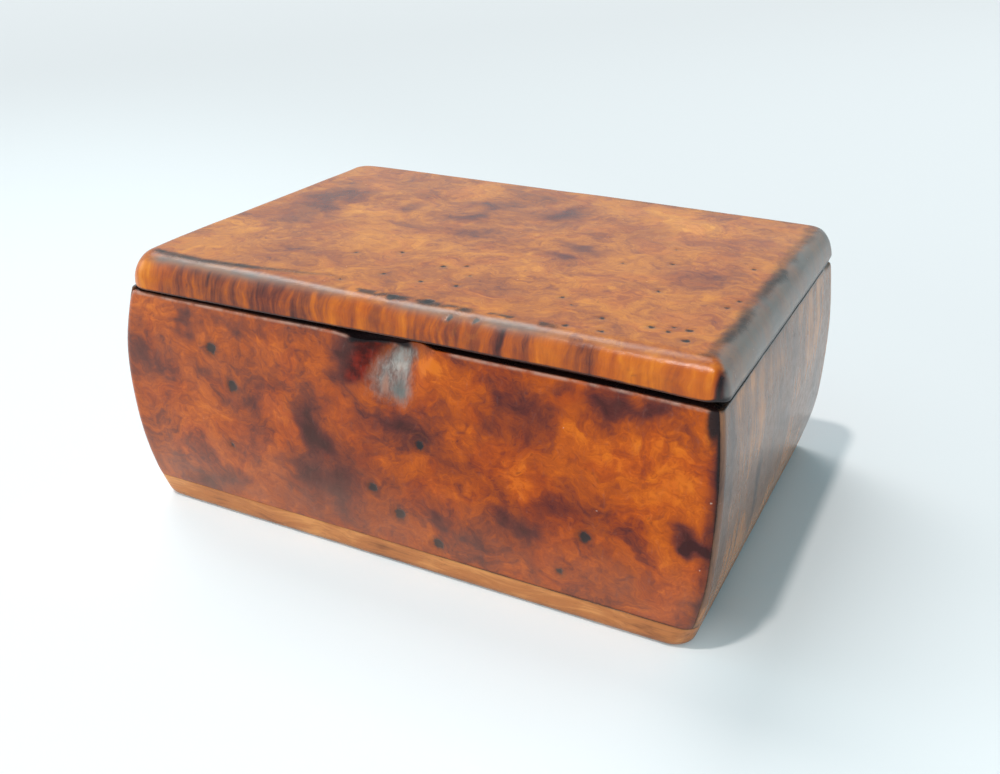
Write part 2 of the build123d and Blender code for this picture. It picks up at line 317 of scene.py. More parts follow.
def burr(name, seed, stops, plane, eyes, gloss=0.20, figure=1.0, streaks=None, ior=1.34,
         halo=0.56, reflection_veil=((0.42, 0.26, 0.20), 0.17), scoop=False, nicks=(),
         mixture=(0.86, 0.92, 0.66, 0.34, -0.045), level=0.565):
    """Polished burr: clouds of dark and light wood, swirling flames, fine fibres, and dark eyes.
    The mesh carries where the clouds ("tone"), the dirt and painted shade ("dirt_and_shade") and the
    painted grey reflection veil ("painted_veil") are;
    the front also where its rim is painted with a highlight and its scoop's flank with shade
    ("painted_sheen_shade"), and where the scoop's painted reflection lies ("painted_scoop_glare")."""
    g = Graph(name)
    p0 = g.coords_mm()
    p = g.vec("ADD", p0, (seed * 31.7, seed * -12.3, seed * 7.9))
    tone, dirt_and_shade, painted_veil = g.attr("tone"), g.attr("dirt_and_shade"), g.attr("painted_veil")
    warp = g.vec("SCALE", g.vec("SUBTRACT", g.noise(p, 0.10, 3, 0.55, colour=True),
                                (0.5, 0.5, 0.5)), scale=15.0)
    curl = g.vec("SCALE", g.vec("SUBTRACT", g.noise(p, 0.36, 3, 0.55, colour=True),
                                (0.5, 0.5, 0.5)), scale=2.6)
    q = g.vec("ADD", g.vec("ADD", p, warp), curl)
    cloud = g.noise(q, 0.13, 4, 0.5)
    mottle = g.noise(q, 0.34, 6, 0.62, 0.4)
    flame = g.noise(g.vec("MULTIPLY", q, (0.28, 1.0, 1.0)), 0.90, 7, 0.60, 0.7)
    fibre = g.noise(g.vec("MULTIPLY", q, (0.34, 1.6, 2.0)), 3.2, 6, 0.68, 0.4)
    # fine dark threads, where the fibres curl round
    thread = g.noise(g.vec("MULTIPLY", q, (0.42, 1.2, 1.4)), 1.15, 3, 0.5, 0.7)
    thread = g.range(g.math("ABSOLUTE", g.math("SUBTRACT", thread, 0.5)), 0.0, 0.030, 1.0, 0.0)
    # the clouds' edges are feathered by the figure
    tone = g.mul(tone, g.range(g.add(mottle, g.mul(flame, 0.5)), 0.50, 1.0, 0.62, 1.38))
    k_cloud, k_mottle, k_flame, k_fibre, k_thread = mixture
    v = g.math("MULTIPLY_ADD", g.math("SUBTRACT", cloud, 0.5), k_cloud * figure, level)
    v = g.add(v, g.mul(g.math("SUBTRACT", mottle, 0.5), k_mottle * figure))
    v = g.add(v, g.mul(g.math("SUBTRACT", flame, 0.5), k_flame * figure))
    v = g.add(v, g.mul(g.math("SUBTRACT", fibre, 0.5), k_fibre))
    v = g.add(v, g.mul(thread, k_thread))
    v = g.add(v, g.mul(tone, 0.43 if streaks is None else 0.52))
    if streaks is not None:
        # on the sawn edge the fibres run straight up and down
        edge = g.attr("edge")
        x, y, z = g.xyz(p0)
        sway = g.mul(g.math("SUBTRACT", g.noise(p0, 0.24, 2), 0.5), 2.0)
        line = g.combine(g.add(x, sway), g.mul(y, 0.16), g.mul(z, 0.16))
        wide = g.noise(line, 0.42, 3, 0.55)
        thin = g.noise(g.vec("ADD", line, (7.0, 3.0, 1.0)), 1.2, 5, 0.62, 0.1)
        hair = g.noise(g.vec("ADD", line, (2.0, 9.0, 4.0)), 4.0, 4, 0.62)
        s = g.math("MULTIPLY_ADD", g.math("SUBTRACT", wide, 0.5), 1.05, 0.50)
        s = g.add(s, g.mul(g.math("SUBTRACT", thin, 0.5), 0.90))
        s = g.add(s, g.mul(g.math("SUBTRACT", hair, 0.5), 0.22))
        s = g.add(s, g.mul(g.attr("tone"), g.range(thin, 0.30, 0.70, 0.52, 0.34)))
        s = g.add(s, g.mul(g.math("SUBTRACT", mottle, 0.5), 0.34))
        v = g.add(g.mul(v, g.math("SUBTRACT", 1.0, edge)), g.mul(s, edge))
        col = g.mix(edge, g.ramp(v, stops, "LINEAR"), g.ramp(v, streaks, "LINEAR"))
    else:
        col = g.ramp(v, stops, "LINEAR")
    # some of the clouds are redder
    red = g.range(g.noise(g.vec("ADD", q, (31.0, 4.0, 17.0)), 0.17, 3, 0.5), 0.45, 0.63)
    col = g.mix(g.mul(red, 0.55), col, g.mix(1.0, col, (0.90, 0.70, 0.85), "MULTIPLY"))

    core = None
    if eyes:
        u, w = plane
        c = g.xyz(p0)
        wob = g.vec("SCALE", g.vec("SUBTRACT", g.noise(p0, 1.1, 4, 0.65, colour=True),
                                   (0.5, 0.5, 0.5)), scale=1.15)
        cw = g.xyz(wob)
        flat = g.combine(g.add(c[u], cw[0]), g.add(c[w], cw[1]), 0.0)
        e = eyes_node(g, flat, eyes)
        ring = g.mul(g.math("SINE", g.mul(e, 7.0)), g.range(e, 0.6, 3.0, 1.0, 0.0))
        col = g.mix(g.mul(g.range(ring, 0.0, 1.0), 0.07), col, stops[-1][1])
        col = g.mix(g.mul(g.range(e, -0.2, 1.1, 1.0, 0.0), halo), col, stops[0][1])
        core = g.range(e, -0.22, 0.22, 1.0, 0.0)
        col = g.mix(g.mul(core, 0.94), col, (0.0070, 0.0125, 0.0165))
    # fine dark flecks scattered in the figure
    fleck = g.voronoi(g.vec("ADD", q, (5.0, 1.0, 9.0)), 0.60)
    fl = g.range(fleck.outputs["Distance"], 0.06, 0.24, 1.0, 0.0)
    fl = g.mul(fl, g.range(g.noise(p, 0.20, 2), 0.52, 0.64))
    col = g.mix(g.mul(fl, 0.35), col, tuple(k * 0.7 for k in stops[0][1]))
    # painted reflection: a grey veil mixed into the colour where the mesh asks for it
    grey_mix = g.mul(painted_veil, g.range(g.noise(p, 0.25, 4, 0.6), 0.3, 0.7, 0.75, 1.0))
    col = g.mix(g.mul(grey_mix, reflection_veil[1]), col, reflection_veil[0])
    if scoop:
        painted_sheen_shade, painted_scoop_glare = g.attr("painted_sheen_shade"), g.attr("painted_scoop_glare")
        # painted highlight: a pale line on the rim's rounded arris, and on the left arris a painted
        # reflection
        rim_sheen = g.mul(painted_sheen_shade, g.range(g.noise(p0, 0.45, 5, 0.68), 0.36, 0.62, 0.20, 1.0))
        col = g.mix(g.mul(rim_sheen, 0.72), col, (0.52, 0.29, 0.22))
        # painted shade: the scoop's flank in shadow is painted a deep red
        col = g.mix(g.range(painted_sheen_shade, -1.0, 0.0, 0.94, 0.0), col, g.mix(
            g.range(g.noise(p0, 0.8, 5, 0.65), 0.35, 0.65), (0.060, 0.0020, 0.0010),
            (0.220, 0.0110, 0.0020)))
        # painted reflection: the scoop's hollow is painted grey, with orange and a little green,
        # where it reflects the light
        tuft = g.vec("MULTIPLY", g.vec("ADD", p0, g.vec("SCALE", curl, scale=0.35)),
                     (1.0, 0.5, 0.42))
        st = g.noise(tuft, 1.5, 7, 0.68, 0.4)
        glare_col = g.ramp(st, [(0.28, (0.095, 0.068, 0.064)), (0.44, (0.185, 0.158, 0.146)),
                         (0.58, (0.300, 0.278, 0.258)), (0.74, (0.460, 0.438, 0.405))], "LINEAR")
        xz = g.vec("MULTIPLY", p0, (1.0, 0.0, 1.0))

        def patch(at, squash, near, far):
            d = g.vec("LENGTH", g.vec("MULTIPLY", g.vec("SUBTRACT", xz, at), squash))
            return g.range(g.add(d, g.mul(g.math("SUBTRACT", st, 0.5), -1.6)), near, far, 1.0, 0.0)

        glare_col = g.mix(g.mul(patch((2.2, 0.0, 31.0), (1.0, 0.0, 0.7), 0.3, 1.9), 0.55), glare_col,
                   (0.560, 0.530, 0.480))
        glare_col = g.mix(g.mul(patch((0.2, 0.0, 27.4), (1.6, 0.0, 0.6), 0.3, 1.3), 0.75), glare_col,
                   (0.470, 0.220, 0.150))
        glare_col = g.mix(g.mul(patch((2.4, 0.0, 27.2), (1.0, 0.0, 0.9), 0.3, 1.8), 0.72), glare_col,
                   (0.100, 0.165, 0.162))
        on = g.math("MULTIPLY_ADD", g.math("SUBTRACT", g.noise(tuft, 1.3, 6, 0.65, 0.5), 0.5),
                    1.1, painted_scoop_glare)
        on = g.range(on, 0.02, 1.22)
        col = g.mix(g.mul(on, 0.92), col, glare_col)
    for cx, cy, cr in nicks:
        u, w = plane
        c = g.xyz(p0)
        jag = g.mul(g.math("SUBTRACT", g.noise(p0, 3.5, 2), 0.5), 0.5)
        d = g.vec("DISTANCE", g.combine(g.add(c[u], jag), g.mul(c[w], 1.0), 0.0), (cx, cy, 0.0))
        col = g.mix(g.mul(g.range(d, cr * 0.5, cr, 1.0, 0.0), 0.7), col, (0.62, 0.47, 0.38))
    # dirt and old polish gathered at edges and joints, and painted shade in gaps and under the lid
    gr = g.math("MULTIPLY_ADD", dirt_and_shade, 1.20, g.mul(
        g.math("SUBTRACT", g.noise(p, 0.75, 6, 0.70), 0.5), 0.55))
    gr = g.mul(g.range(gr, 0.12, 1.12), 0.96)
    col = g.mix(gr, col, (0.0120, 0.0080, 0.0095))

    rough = g.range(g.noise(p, 0.7, 4, 0.6), 0.2, 0.8, gloss - 0.04, gloss + 0.06)
    rough = g.add(rough, g.mul(gr, 0.08))
    h = g.add(g.mul(fibre, 0.40), g.mul(g.noise(p, 1.1, 3, 0.5), 0.60))
    h = g.add(h, g.mul(g.noise(p, 8.0, 2, 0.5), 0.10))
    if core is not None:
        rough = g.add(rough, g.mul(core, 0.20))
        h = g.add(h, g.mul(core, -0.8))
    if scoop:
        rough = g.add(rough, g.mul(on, 0.35))
        h = g.add(h, g.mul(g.mul(st, on), 0.9))
    n = g.bump(h, 0.26, 0.00014)
    return g.finish(col, rough, n, IOR=ior)


def straight(name, seed, dark, mid, light, along, gloss=0.3, ring=0.5, coarse=1.0, coat=0.1):
    """Plain straight-grained wood: growth lines and pores drawn out along one axis."""
    g = Graph(name)
    p = g.coords_mm()
    p = g.vec("ADD", p, (seed * 13.7, seed * 21.3, seed * -5.9))
    sc = [1.0, 1.0, 1.0]
    sc["xyz".index(along)] = 0.07
    warp = g.vec("SCALE", g.vec("SUBTRACT", g.noise(p, 0.07, 2, 0.5, colour=True),
                                (0.5, 0.5, 0.5)), scale=5.0)
    q = g.vec("MULTIPLY", g.vec("ADD", p, warp), tuple(sc))
    dirt_and_shade = g.attr("dirt_and_shade")
    tone = g.attr("tone")
    lines_ = g.noise(q, 0.9 * coarse, 4, 0.6, 0.2)
    fine = g.noise(q, 3.4 * coarse, 4, 0.6)
    broad = g.noise(g.vec("ADD", p, warp), 0.11, 4, 0.55)
    v = g.math("MULTIPLY_ADD", g.math("SUBTRACT", lines_, 0.5), ring * 1.5, 0.5)
    v = g.add(v, g.mul(g.math("SUBTRACT", fine, 0.5), 0.42))
    v = g.add(v, g.mul(g.math("SUBTRACT", broad, 0.5), 0.95))
    v = g.add(v, g.mul(tone, 0.34))
    col = g.ramp(v, [(0.12, dark), (0.5, mid), (0.88, light)], "EASE")
    pores = g.range(g.noise(g.vec("MULTIPLY", q, (1.7, 1.7, 1.7)), 5.0, 2, 0.5), 0.62, 0.72)
    col = g.mix(g.mul(pores, 0.35), col, tuple(c * 0.35 for c in dark))
    # dirt at joints, and painted shade along the parting line and at the base's foot
    gr = g.mul(dirt_and_shade, g.range(g.noise(p, 0.6, 4, 0.6), 0.30, 0.62, 0.55, 1.0))
    col = g.mix(gr, col, (0.016, 0.010, 0.010))
    rough = g.range(g.noise(p, 0.8, 3, 0.6), 0.2, 0.8, gloss - 0.04, gloss + 0.06)
    h = g.add(g.mul(fine, 0.5), g.mul(g.noise(p, 1.1, 3, 0.5), 0.3))
    h = g.add(h, g.mul(pores, -0.5))
    n = g.bump(h, 0.20, 0.00010)
    return g.finish(col, rough, n, Specular_IOR_Level=0.5, IOR=1.47, Coat_Weight=coat,
                    Coat_Roughness=0.16, Coat_IOR=1.5)


def brass(name, seed, base, tarnish):
    g = Graph(name)
    p = g.vec("ADD", g.coords_mm(), (seed * 11.0, seed * 3.0, seed * 5.0))
    t = g.range(g.noise(p, 0.8, 5, 0.6), 0.35, 0.68)
    sp = g.range(g.noise(p, 3.4, 3, 0.5), 0.55, 0.72)
    col = g.mix(t, base, tarnish)
    col = g.mix(g.mul(sp, 0.5), col, tuple(c * 0.4 for c in tarnish))
    scr = g.noise(g.vec("MULTIPLY", p, (0.15, 3.0, 3.0)), 4.0, 3, 0.6)
    rough = g.range(g.add(g.mul(t, 0.6), g.mul(scr, 0.4)), 0.1, 0.9, 0.28, 0.52)
    n = g.bump(g.add(scr, g.mul(sp, -0.5)), 0.35, 0.00005)
    return g.finish(col, rough, n, Metallic=1.0)


def foil(name, seed):
    g = Graph(name)
    p = g.vec("ADD", g.coords_mm(), (seed * 9.0, seed * 4.0, seed * 2.0))
    crease = g.voronoi(g.vec("ADD", p, g.vec("SCALE", g.noise(p, 0.5, 3, 0.5, colour=True),
                                              scale=1.6)), 0.42, "DISTANCE_TO_EDGE")
    c1 = g.range(crease.outputs["Distance"], 0.0, 0.16)
    fine = g.noise(p, 1.6, 4, 0.65, 0.3)
    grey_mix = g.range(g.noise(p, 0.16, 4, 0.6), 0.3, 0.7)
    col = g.mix(grey_mix, (0.47, 0.465, 0.45), (0.30, 0.29, 0.275))
    stain = g.range(g.noise(p, 0.33, 4, 0.6), 0.56, 0.72)
    col = g.mix(g.mul(stain, 0.45), col, (0.16, 0.115, 0.075))
    rough = g.range(g.add(g.mul(grey_mix, 0.6), g.mul(fine, 0.4)), 0.2, 0.8, 0.34, 0.56)
    n = g.bump(g.add(g.mul(c1, 0.7), g.mul(fine, 0.5)), 0.55, 0.00016)
    return g.finish(col, rough, n, Metallic=0.92)


EYES_FRONT = [
    (-28.1, 27.3, 0.78), (-24.9, 22.3, 0.80), (-26.2, 12.6, 0.30), (5.5, 20.4, 0.60),
    (-2.2, 12.0, 0.62), (1.9, 8.9, 0.80), (7.7, 5.6, 0.72), (28.7, 13.3, 0.80), (25.5, 7.0, 0.45),
]
EYES_BACK = [
    (-31.0, 11.2, 0.70), (-28.6, 13.9, 0.45), (-14.2, 24.8, 0.75), (-11.0, 20.9, 0.50),
    (-3.1, 8.3, 0.62), (4.4, 14.5, 0.72), (7.3, 11.8, 0.40), (18.6, 21.0, 0.80),
    (21.9, 17.6, 0.50), (33.2, 9.4, 0.70), (36.0, 25.3, 0.55),
]
EYES_LID = [
    (-13.6, -15.0, 0.22), (-7.8, -12.1, 0.26), (-5.4, -20.8, 0.28), (0.3, -14.7, 0.34),
    (3.2, -13.2, 0.26), (0.6, -21.0, 0.28), (5.4, -16.4, 0.18), (5.6, -20.4, 0.32),
    (-9.4, -25.0, 0.22), (19.5, -18.2, 0.26), (21.6, -20.0, 0.16), (21.6, -2.4, 0.18),
    (26.3, 6.6, 0.20), (27.8, 0.3, 0.26), (38.3, 3.3, 0.26), (29.6, -10.7, 0.28),
    (39.7, -9.5, 0.26), (39.0, -12.2, 0.26), (0.1, -27.3, 0.70), (5.0, -26.6, 0.72),
    (9.3, -29.0, 0.34), (12.8, -28.6, 0.34), (23.5, -26.4, 0.40), (26.5, -22.4, 0.30),
    (28.0, -26.2, 0.34), (32.8, -22.4, 0.36), (35.1, -22.9, 0.30), (35.3, -21.4, 0.28),
    (37.2, -21.5, 0.32), (37.7, -24.6, 0.40),
]
BURR = [(0.02, (0.045, 0.0065, 0.0070)), (0.22, (0.115, 0.0190, 0.0140)),
        (0.42, (0.250, 0.0390, 0.0100)), (0.60, (0.410, 0.0660, 0.0042)),
        (0.80, (0.560, 0.0990, 0.0028)), (1.00, (0.710, 0.1550, 0.0050))]
TOP = [(0.02, (0.115, 0.0260, 0.0240)), (0.22, (0.215, 0.0480, 0.0210)),
       (0.42, (0.400, 0.1010, 0.0190)), (0.60, (0.560, 0.1650, 0.0200)),
       (0.80, (0.690, 0.2250, 0.0200)), (1.00, (0.820, 0.3050, 0.0350))]
EDGE = [(0.02, (0.060, 0.0120, 0.0090)), (0.22, (0.150, 0.0280, 0.0130)),
        (0.42, (0.300, 0.0600, 0.0130)), (0.60, (0.470, 0.0950, 0.0060)),
        (0.80, (0.620, 0.1450, 0.0040)), (1.00, (0.770, 0.2300, 0.0080))]
m_front = burr("burr_front", 1.0, BURR, (0, 2), EYES_FRONT, ior=1.27, scoop=True,
               nicks=[(43.9, 22.4, 0.13), (43.4, 13.1, 0.12), (25.4, 27.6, 0.08), (30.2, 17.6, 0.08)])
m_back = burr("burr_back", 4.3, BURR, (0, 2), EYES_BACK, ior=1.27)
m_lid = burr("burr_lid", 2.1, TOP, (0, 1), EYES_LID, 0.22, 1.00, EDGE, 1.38, 0.30,
             ((0.205, 0.190, 0.178), 0.92), nicks=[(32.0, 7.6, 0.09), (33.6, 0.6, 0.09)],
             mixture=(0.75, 0.70, 0.66, 0.30, -0.045), level=0.545)
m_end_r = straight("end_wood_right", 1.2, (0.080, 0.034, 0.024), (0.250, 0.100, 0.048),
                   (0.600, 0.215, 0.062), "z", 0.22, 0.75, 0.5, 0.0)
m_end_l = straight("end_wood_left", 5.2, (0.085, 0.030, 0.016), (0.27, 0.088, 0.030),
                   (0.50, 0.165, 0.045), "z", 0.22, 0.75, 0.5, 0.1)
m_base = straight("base_wood", 2.7, (0.24, 0.066, 0.016), (0.53, 0.170, 0.040),
                  (0.72, 0.285, 0.078), "x", 0.32, 0.8, 0.9, 0.0)
m_leaf = brass("aged_brass", 1.0, (0.60, 0.42, 0.17), (0.25, 0.155, 0.06))
m_pin = brass("rubbed_brass", 2.0, (0.68, 0.50, 0.23), (0.36, 0.24, 0.10))
m_foil = foil("tin_foil", 1.0)


# =================================================================================================
# where the wood is darker or lighter, where it is dirty, and where light and shade are painted
# =================================================================================================
def eye_field(p2, marks, far=3.0):
    """Distance in mm from the rim of the nearest mark; negative inside it."""
    d = np.full(len(p2), far)
    for x, z, r in marks:
        d = np.minimum(d, np.hypot(p2[:, 0] - x, p2[:, 1] - z) - r)
    return d


def ragged(p, seed, amount=1.0):
    """Offsets in mm that break up the outline of a soft patch."""
    a = np.stack([fbm(p, 7.0, seed + k, 3) * 2.4 + fbm(p, 2.2, seed + k + 9, 2) * 0.9
                  for k in (1.0, 2.0)], 1)
    return a * amount


def blobs(p2, marks):
    """Sum of soft patches: (x, y, half width, half height, strength)."""
    out = np.zeros(len(p2))
    for x, y, a, b, s in marks:
        out += s * np.exp(-(((p2[:, 0] - x) / a) ** 2 + ((p2[:, 1] - y) / b) ** 2))
    return out


# =================================================================================================
# the four walls
# =================================================================================================
def scoop_y(x, z):
    """The leaning cylinder of the thumb scoop: where its surface lies at x, z."""
    c, s = math.cos(SCOOP_TILT), math.sin(SCOOP_TILT)
    ay, az = -Y_FRONT[3] - SCOOP_R * c, SCOOP_FOOT_Z + SCOOP_R * s
    across = np.sqrt(np.maximum(SCOOP_R**2 - (x - SCOOP_X) ** 2, 0.0))
    y = ay + (across + (z - az) * s) / c
    return np.where(np.abs(x - SCOOP_X) < SCOOP_R - 0.5, y, -99.0)


CORNER = {"fl": (-1, -1), "fr": (1, -1), "br": (1, 1), "bl": (-1, 1)}
# rounding of the upright arrises, at the table, at the joint with the base, a little above, and
# from there up to the rim
ARRIS_Z = [0.0, 2.0, 4.5, 34.0]
ARRIS = {"fl": [2.4, 1.9, 1.50, 1.50], "fr": [3.0, 2.6, 1.90, 1.40], "br": [2.0, 1.5, 0.95, 1.20],
         "bl": [3.0, 2.4, 1.70, 1.70]}


def arris(c, z):
    return np.interp(z, ARRIS_Z, ARRIS[c])


def notch_y(x):
    """Where the V at the back begins: a little further in near the two ends."""
    return AXIS_Y - 0.6 * smooth(40.8, 42.6, np.abs(x))


def chipped(x, y, away):
    """The back right corner is worn away where lid and box meet: how far, in mm."""
    return 1.05 * smooth(23.0, 27.0, y) * (x > 40) * np.clip(1 - away / 0.85, 0, 1)


SIDES = {          # start corner, end corner, angle where the start arc begins
    "front_wall": ("fl", "fr", 225.0),
    "right_end_wall": ("fr", "br", 315.0),
    "back_wall": ("br", "bl", 45.0),
    "left_end_wall": ("bl", "fl", 135.0),
}


def corner_centre(c, z):
    sx, sy = CORNER[c]
    x = np.where(sx > 0, xr_at(z), xl_at(z)) - SKIN - arris(c, z)
    y = np.where(sy > 0, yb_at(z), yf_at(z)) - SKIN - arris(c, z)
    return sx * x, sy * y


def inner_corner(c):
    sx, sy = CORNER[c]
    return (CAV_X1 if sx > 0 else CAV_X0), sy * CAV_Y


def rim_wear(x):
    """How far the front rim's arris is worn down, along the front."""
    return np.interp(x, [-44, -37, -29, -20, -12, -7.5, -5.4, -3.0, 1.8, 3.4, 5, 10, 17, 27, 32,
                         37, 41, 45],
                     [0.62, 0.58, 0.52, 0.50, 0.30, 0.24, 0.46, 1.00, 0.95, 0.35, 0.12, 0.05, 0.10,
                      0.06, 0.08, 0.20, 0.30, 0.45])


def wall(side, material, seed):
    ca, cb, ang0 = SIDES[side]
    arc = ARRIS_R * math.pi / 4
    run = 86.0 if side in ("front_wall", "back_wall") else 58.5
    length, thick, high = run + 2 * arc, 4.4, RIM_Z - BASE_T
    r = 0.10
    edge = [0.0, 0.035, 0.07, 0.10]
    marks_s, marks_t = [arc * k / 6 for k in range(1, 7)], []
    marks_s += [length - m for m in marks_s]
    if side == "back_wall":
        y0, y1 = CAV_Y, Y_BACK[-1] - SKIN
        marks_t = [(y - y0) / (y1 - y0) * thick for y in (
            LEAF_Y0 - 0.06, LEAF_Y0 - 0.03, AXIS_Y - POCKET_R - 0.02, AXIS_Y - POCKET_R + 0.01,
            28.1, 28.25, 28.45, 28.7, 28.95, 29.2, 29.4, 29.6, 29.78, 30.0)]
        x_in0, x_in1 = CAV_X1, CAV_X0
        marks_s += [length * (x - x_in0) / (x_in1 - x_in0) for x in (
            HINGE_X0 - 0.27, HINGE_X0 - 0.24, HINGE_X1 + 0.24, HINGE_X1 + 0.27)]
    fine = 0.36 if side == "front_wall" else 0.5
    if side == "right_end_wall":
        marks_s += [length - 0.15 * k for k in range(1, 22)]
    s = lines(0, length, fine, edge, marks_s)
    t = lines(0, thick, 0.45, edge, marks_t)
    w = lines(0, high, fine, edge, [high - d for d in (0.18, 0.26, 0.36, 0.52, 0.8, 1.1, 1.5)])
    ijk, quads = shell(len(s), len(t), len(w))
    c = np.stack([s[ijk[:, 0]], t[ijk[:, 1]], w[ijk[:, 2]]], 1)
    c = round_box(c, (length, thick, high), r)
    a, b, h = c[:, 0], c[:, 1] / thick, c[:, 2] / high
    z = BASE_T + h * high
    # outer path: half an arris, the face, half an arris
    ax, ay = corner_centre(ca, z)
    bx, by = corner_centre(cb, z)
    t0 = math.radians(ang0)
    u = np.clip((a - arc) / run, 0, 1)
    th = np.where(a < arc, t0 + (a / arc) * math.pi / 4,
                  np.where(a > arc + run, t0 + math.pi / 4 + ((a - arc - run) / arc) * math.pi / 4,
                           t0 + math.pi / 4))
    ra, rb = arris(ca, z), arris(cb, z)
    rr = ra + (rb - ra) * u
    ox = ax + (bx - ax) * u + rr * np.cos(th)
    oy = ay + (by - ay) * u + rr * np.sin(th)
    (ix0, iy0), (ix1, iy1) = inner_corner(ca), inner_corner(cb)
    f = a / length
    ix, iy = ix0 + (ix1 - ix0) * f, iy0 + (iy1 - iy0) * f
    face = smooth(0.0, 3.0, np.minimum(a, length - a))
    p = np.stack([ox, oy, z], 1)
    lump = fbm(p, 9.0, seed, 2) * 0.045 + fbm(p, 2.6, seed + 1, 2) * 0.010
    nx, ny = np.cos(th), np.sin(th)
    dig = np.maximum(0, 0.03 + lump) * (0.15 + 0.85 * face)
    ox, oy = ox - nx * dig, oy - ny * dig
    if side == "front_wall":
        eye = eye_field(np.stack([ox, z], 1), EYES_FRONT)
        pit = 0.16 * smooth(0.5, -0.4, eye)
        sy = scoop_y(ox, z) + 0.06 * fbm(p, 1.6, 9.0, 2)
        oy = soft_max(oy, sy, 0.35) + pit
    chip = chipped(ox, oy, RIM_Z - z)
    ox, oy = ox - nx * chip, oy - ny * chip
    x, y = ix + (ox - ix) * b, iy + (oy - iy) * b
    # rim: V-chamfer at the back, and on the back wall the leaf's bed and the barrel's channel
    top = np.full(len(p), RIM_Z)
    top = np.minimum(top, RIM_Z - np.maximum(0, y - notch_y(x)) * V_SLOPE)
    if side == "back_wall":
        in_x = (x > HINGE_X0 - 0.25) & (x < HINGE_X1 + 0.25)
        d = np.abs(y - AXIS_Y)
        ch = AXIS_Z - np.sqrt(np.maximum(POCKET_R**2 - d**2, 0))
        top = np.where(in_x & (d < POCKET_R), np.minimum(top, ch), top)
        top = np.where(in_x & (y > LEAF_Y0 - 0.05) & (y <= AXIS_Y),
                       np.minimum(top, RIM_Z - LEAF_T), top)
    zz = BASE_T + h * (top - BASE_T)
    if side == "front_wall":
        near = np.exp(-((RIM_Z - zz) / 1.3) ** 2) * np.exp(-(((1 - b) * 4.2) / 0.85) ** 2)
        zz = zz - rim_wear(x) * near
    elif side != "back_wall":
        near = np.exp(-((RIM_Z - zz) / 0.9) ** 2) * np.exp(-(((1 - b) * 4.2) / 0.6) ** 2)
        zz = zz - 0.14 * near * (1 + 0.5 * fbm(p, 4.0, seed + 3, 1))
        if side == "right_end_wall":
            # a fine open line between lid and box
            zz = zz - 0.27 * np.exp(-((RIM_Z - zz) / 0.9) ** 2) * np.exp(
                -(((1 - b) * 4.2) / 1.6) ** 2) * smooth(28.5, 26.5, y)
    # dark line at the mitres and the base joint, and painted shade along the parting line
    out = (b > 0.5) * 1.0
    pos = np.stack([x, y, zz], 1)
    w1 = fbm(pos, 3.5, 44.0, 2)
    mitre = {"fl": 0.25, "fr": 0.85, "br": 0.6, "bl": 0.5}
    g_m = np.maximum(mitre[ca] * np.exp(-(a / 0.22) ** 2),
                     mitre[cb] * np.exp(-((length - a) / 0.22) ** 2)) * (0.8 + 0.4 * w1)
    if side == "front_wall":
        g_m = g_m * smooth(4.0, 20.0, zz + 3 * w1)
    joint = 0.30 + 0.60 * smooth(-16.0, 22.0, x) if side == "front_wall" else 0.75
    g_b = np.exp(-((zz - BASE_T) / 0.13) ** 2) * joint
    # painted shade: a dark band at the top of the wall, along the parting line under the lid
    g_r = np.exp(-((RIM_Z - zz) / 0.24) ** 2) * 0.45 * (1 - b * 0.9)
    if side != "front_wall":
        g_r = np.exp(-((1 - h) * high / 0.30) ** 2) * 1.0
    dirt_and_shade = np.clip(np.maximum.reduce([g_m * out, g_b * out, g_r]), 0, 1)
    tone, painted_veil = np.zeros(len(p)), np.zeros(len(p))
    painted_sheen_shade, painted_scoop_glare = np.zeros(len(p)), np.zeros(len(p))
    rag = ragged(pos, seed + 30)
    # painted shade: the rim's top inside the joint under the lid is painted black
    gap = (h > 0.97) * smooth(0.955, 0.90, b) * (0.55 + 0.45 * smooth(0.40, 0.70, b))
    dirt_and_shade = np.maximum(dirt_and_shade, gap)
    if side == "front_wall":
        at = np.stack([x, zz], 1) + rag
        tone = blobs(at, TONE_FRONT) * out
        # painted reflection: a pale veil on the outer face, stronger to the left and towards the
        # bottom
        painted_veil = (0.06 + 0.84 * smooth(20.0, -38.0, x) + 1.2 * smooth(17.0, 5.0, zz)) * out
        # painted highlight: a pale line along the rim's rounded arris, left off across the scoop,
        # where painted shade makes it black under the lid
        top_here = RIM_Z - rim_wear(x)
        keep = np.clip(smooth(-4.6, -5.6, x) + smooth(9.2, 10.8, x), 0, 1) * smooth(43.8, 42.8, x)
        painted_sheen_shade = smooth(0.46, 0.14, top_here - zz) * smooth(0.86, 0.95, b) * keep
        # painted reflection: the bright patch where the scoop's hollow reflects the light
        sx_, sz_ = x + 0.35 * rag[:, 0], zz + 0.35 * rag[:, 1]
        left = np.interp(zz, [24.5, 26.0, 28.5, 30.8, 33.0], [-1.9, -2.5, -2.7, -1.5, 0.4])
        right = np.interp(zz, [24.5, 26.0, 29.0, 33.0], [3.6, 4.0, 4.4, 5.4])
        painted_scoop_glare = (smooth(-0.8, 2.7, sx_ - left) * smooth(-0.9, 1.7, right - sx_)
                * smooth(24.3, 27.2, sz_) * smooth(34.0, 32.4, sz_)) * out
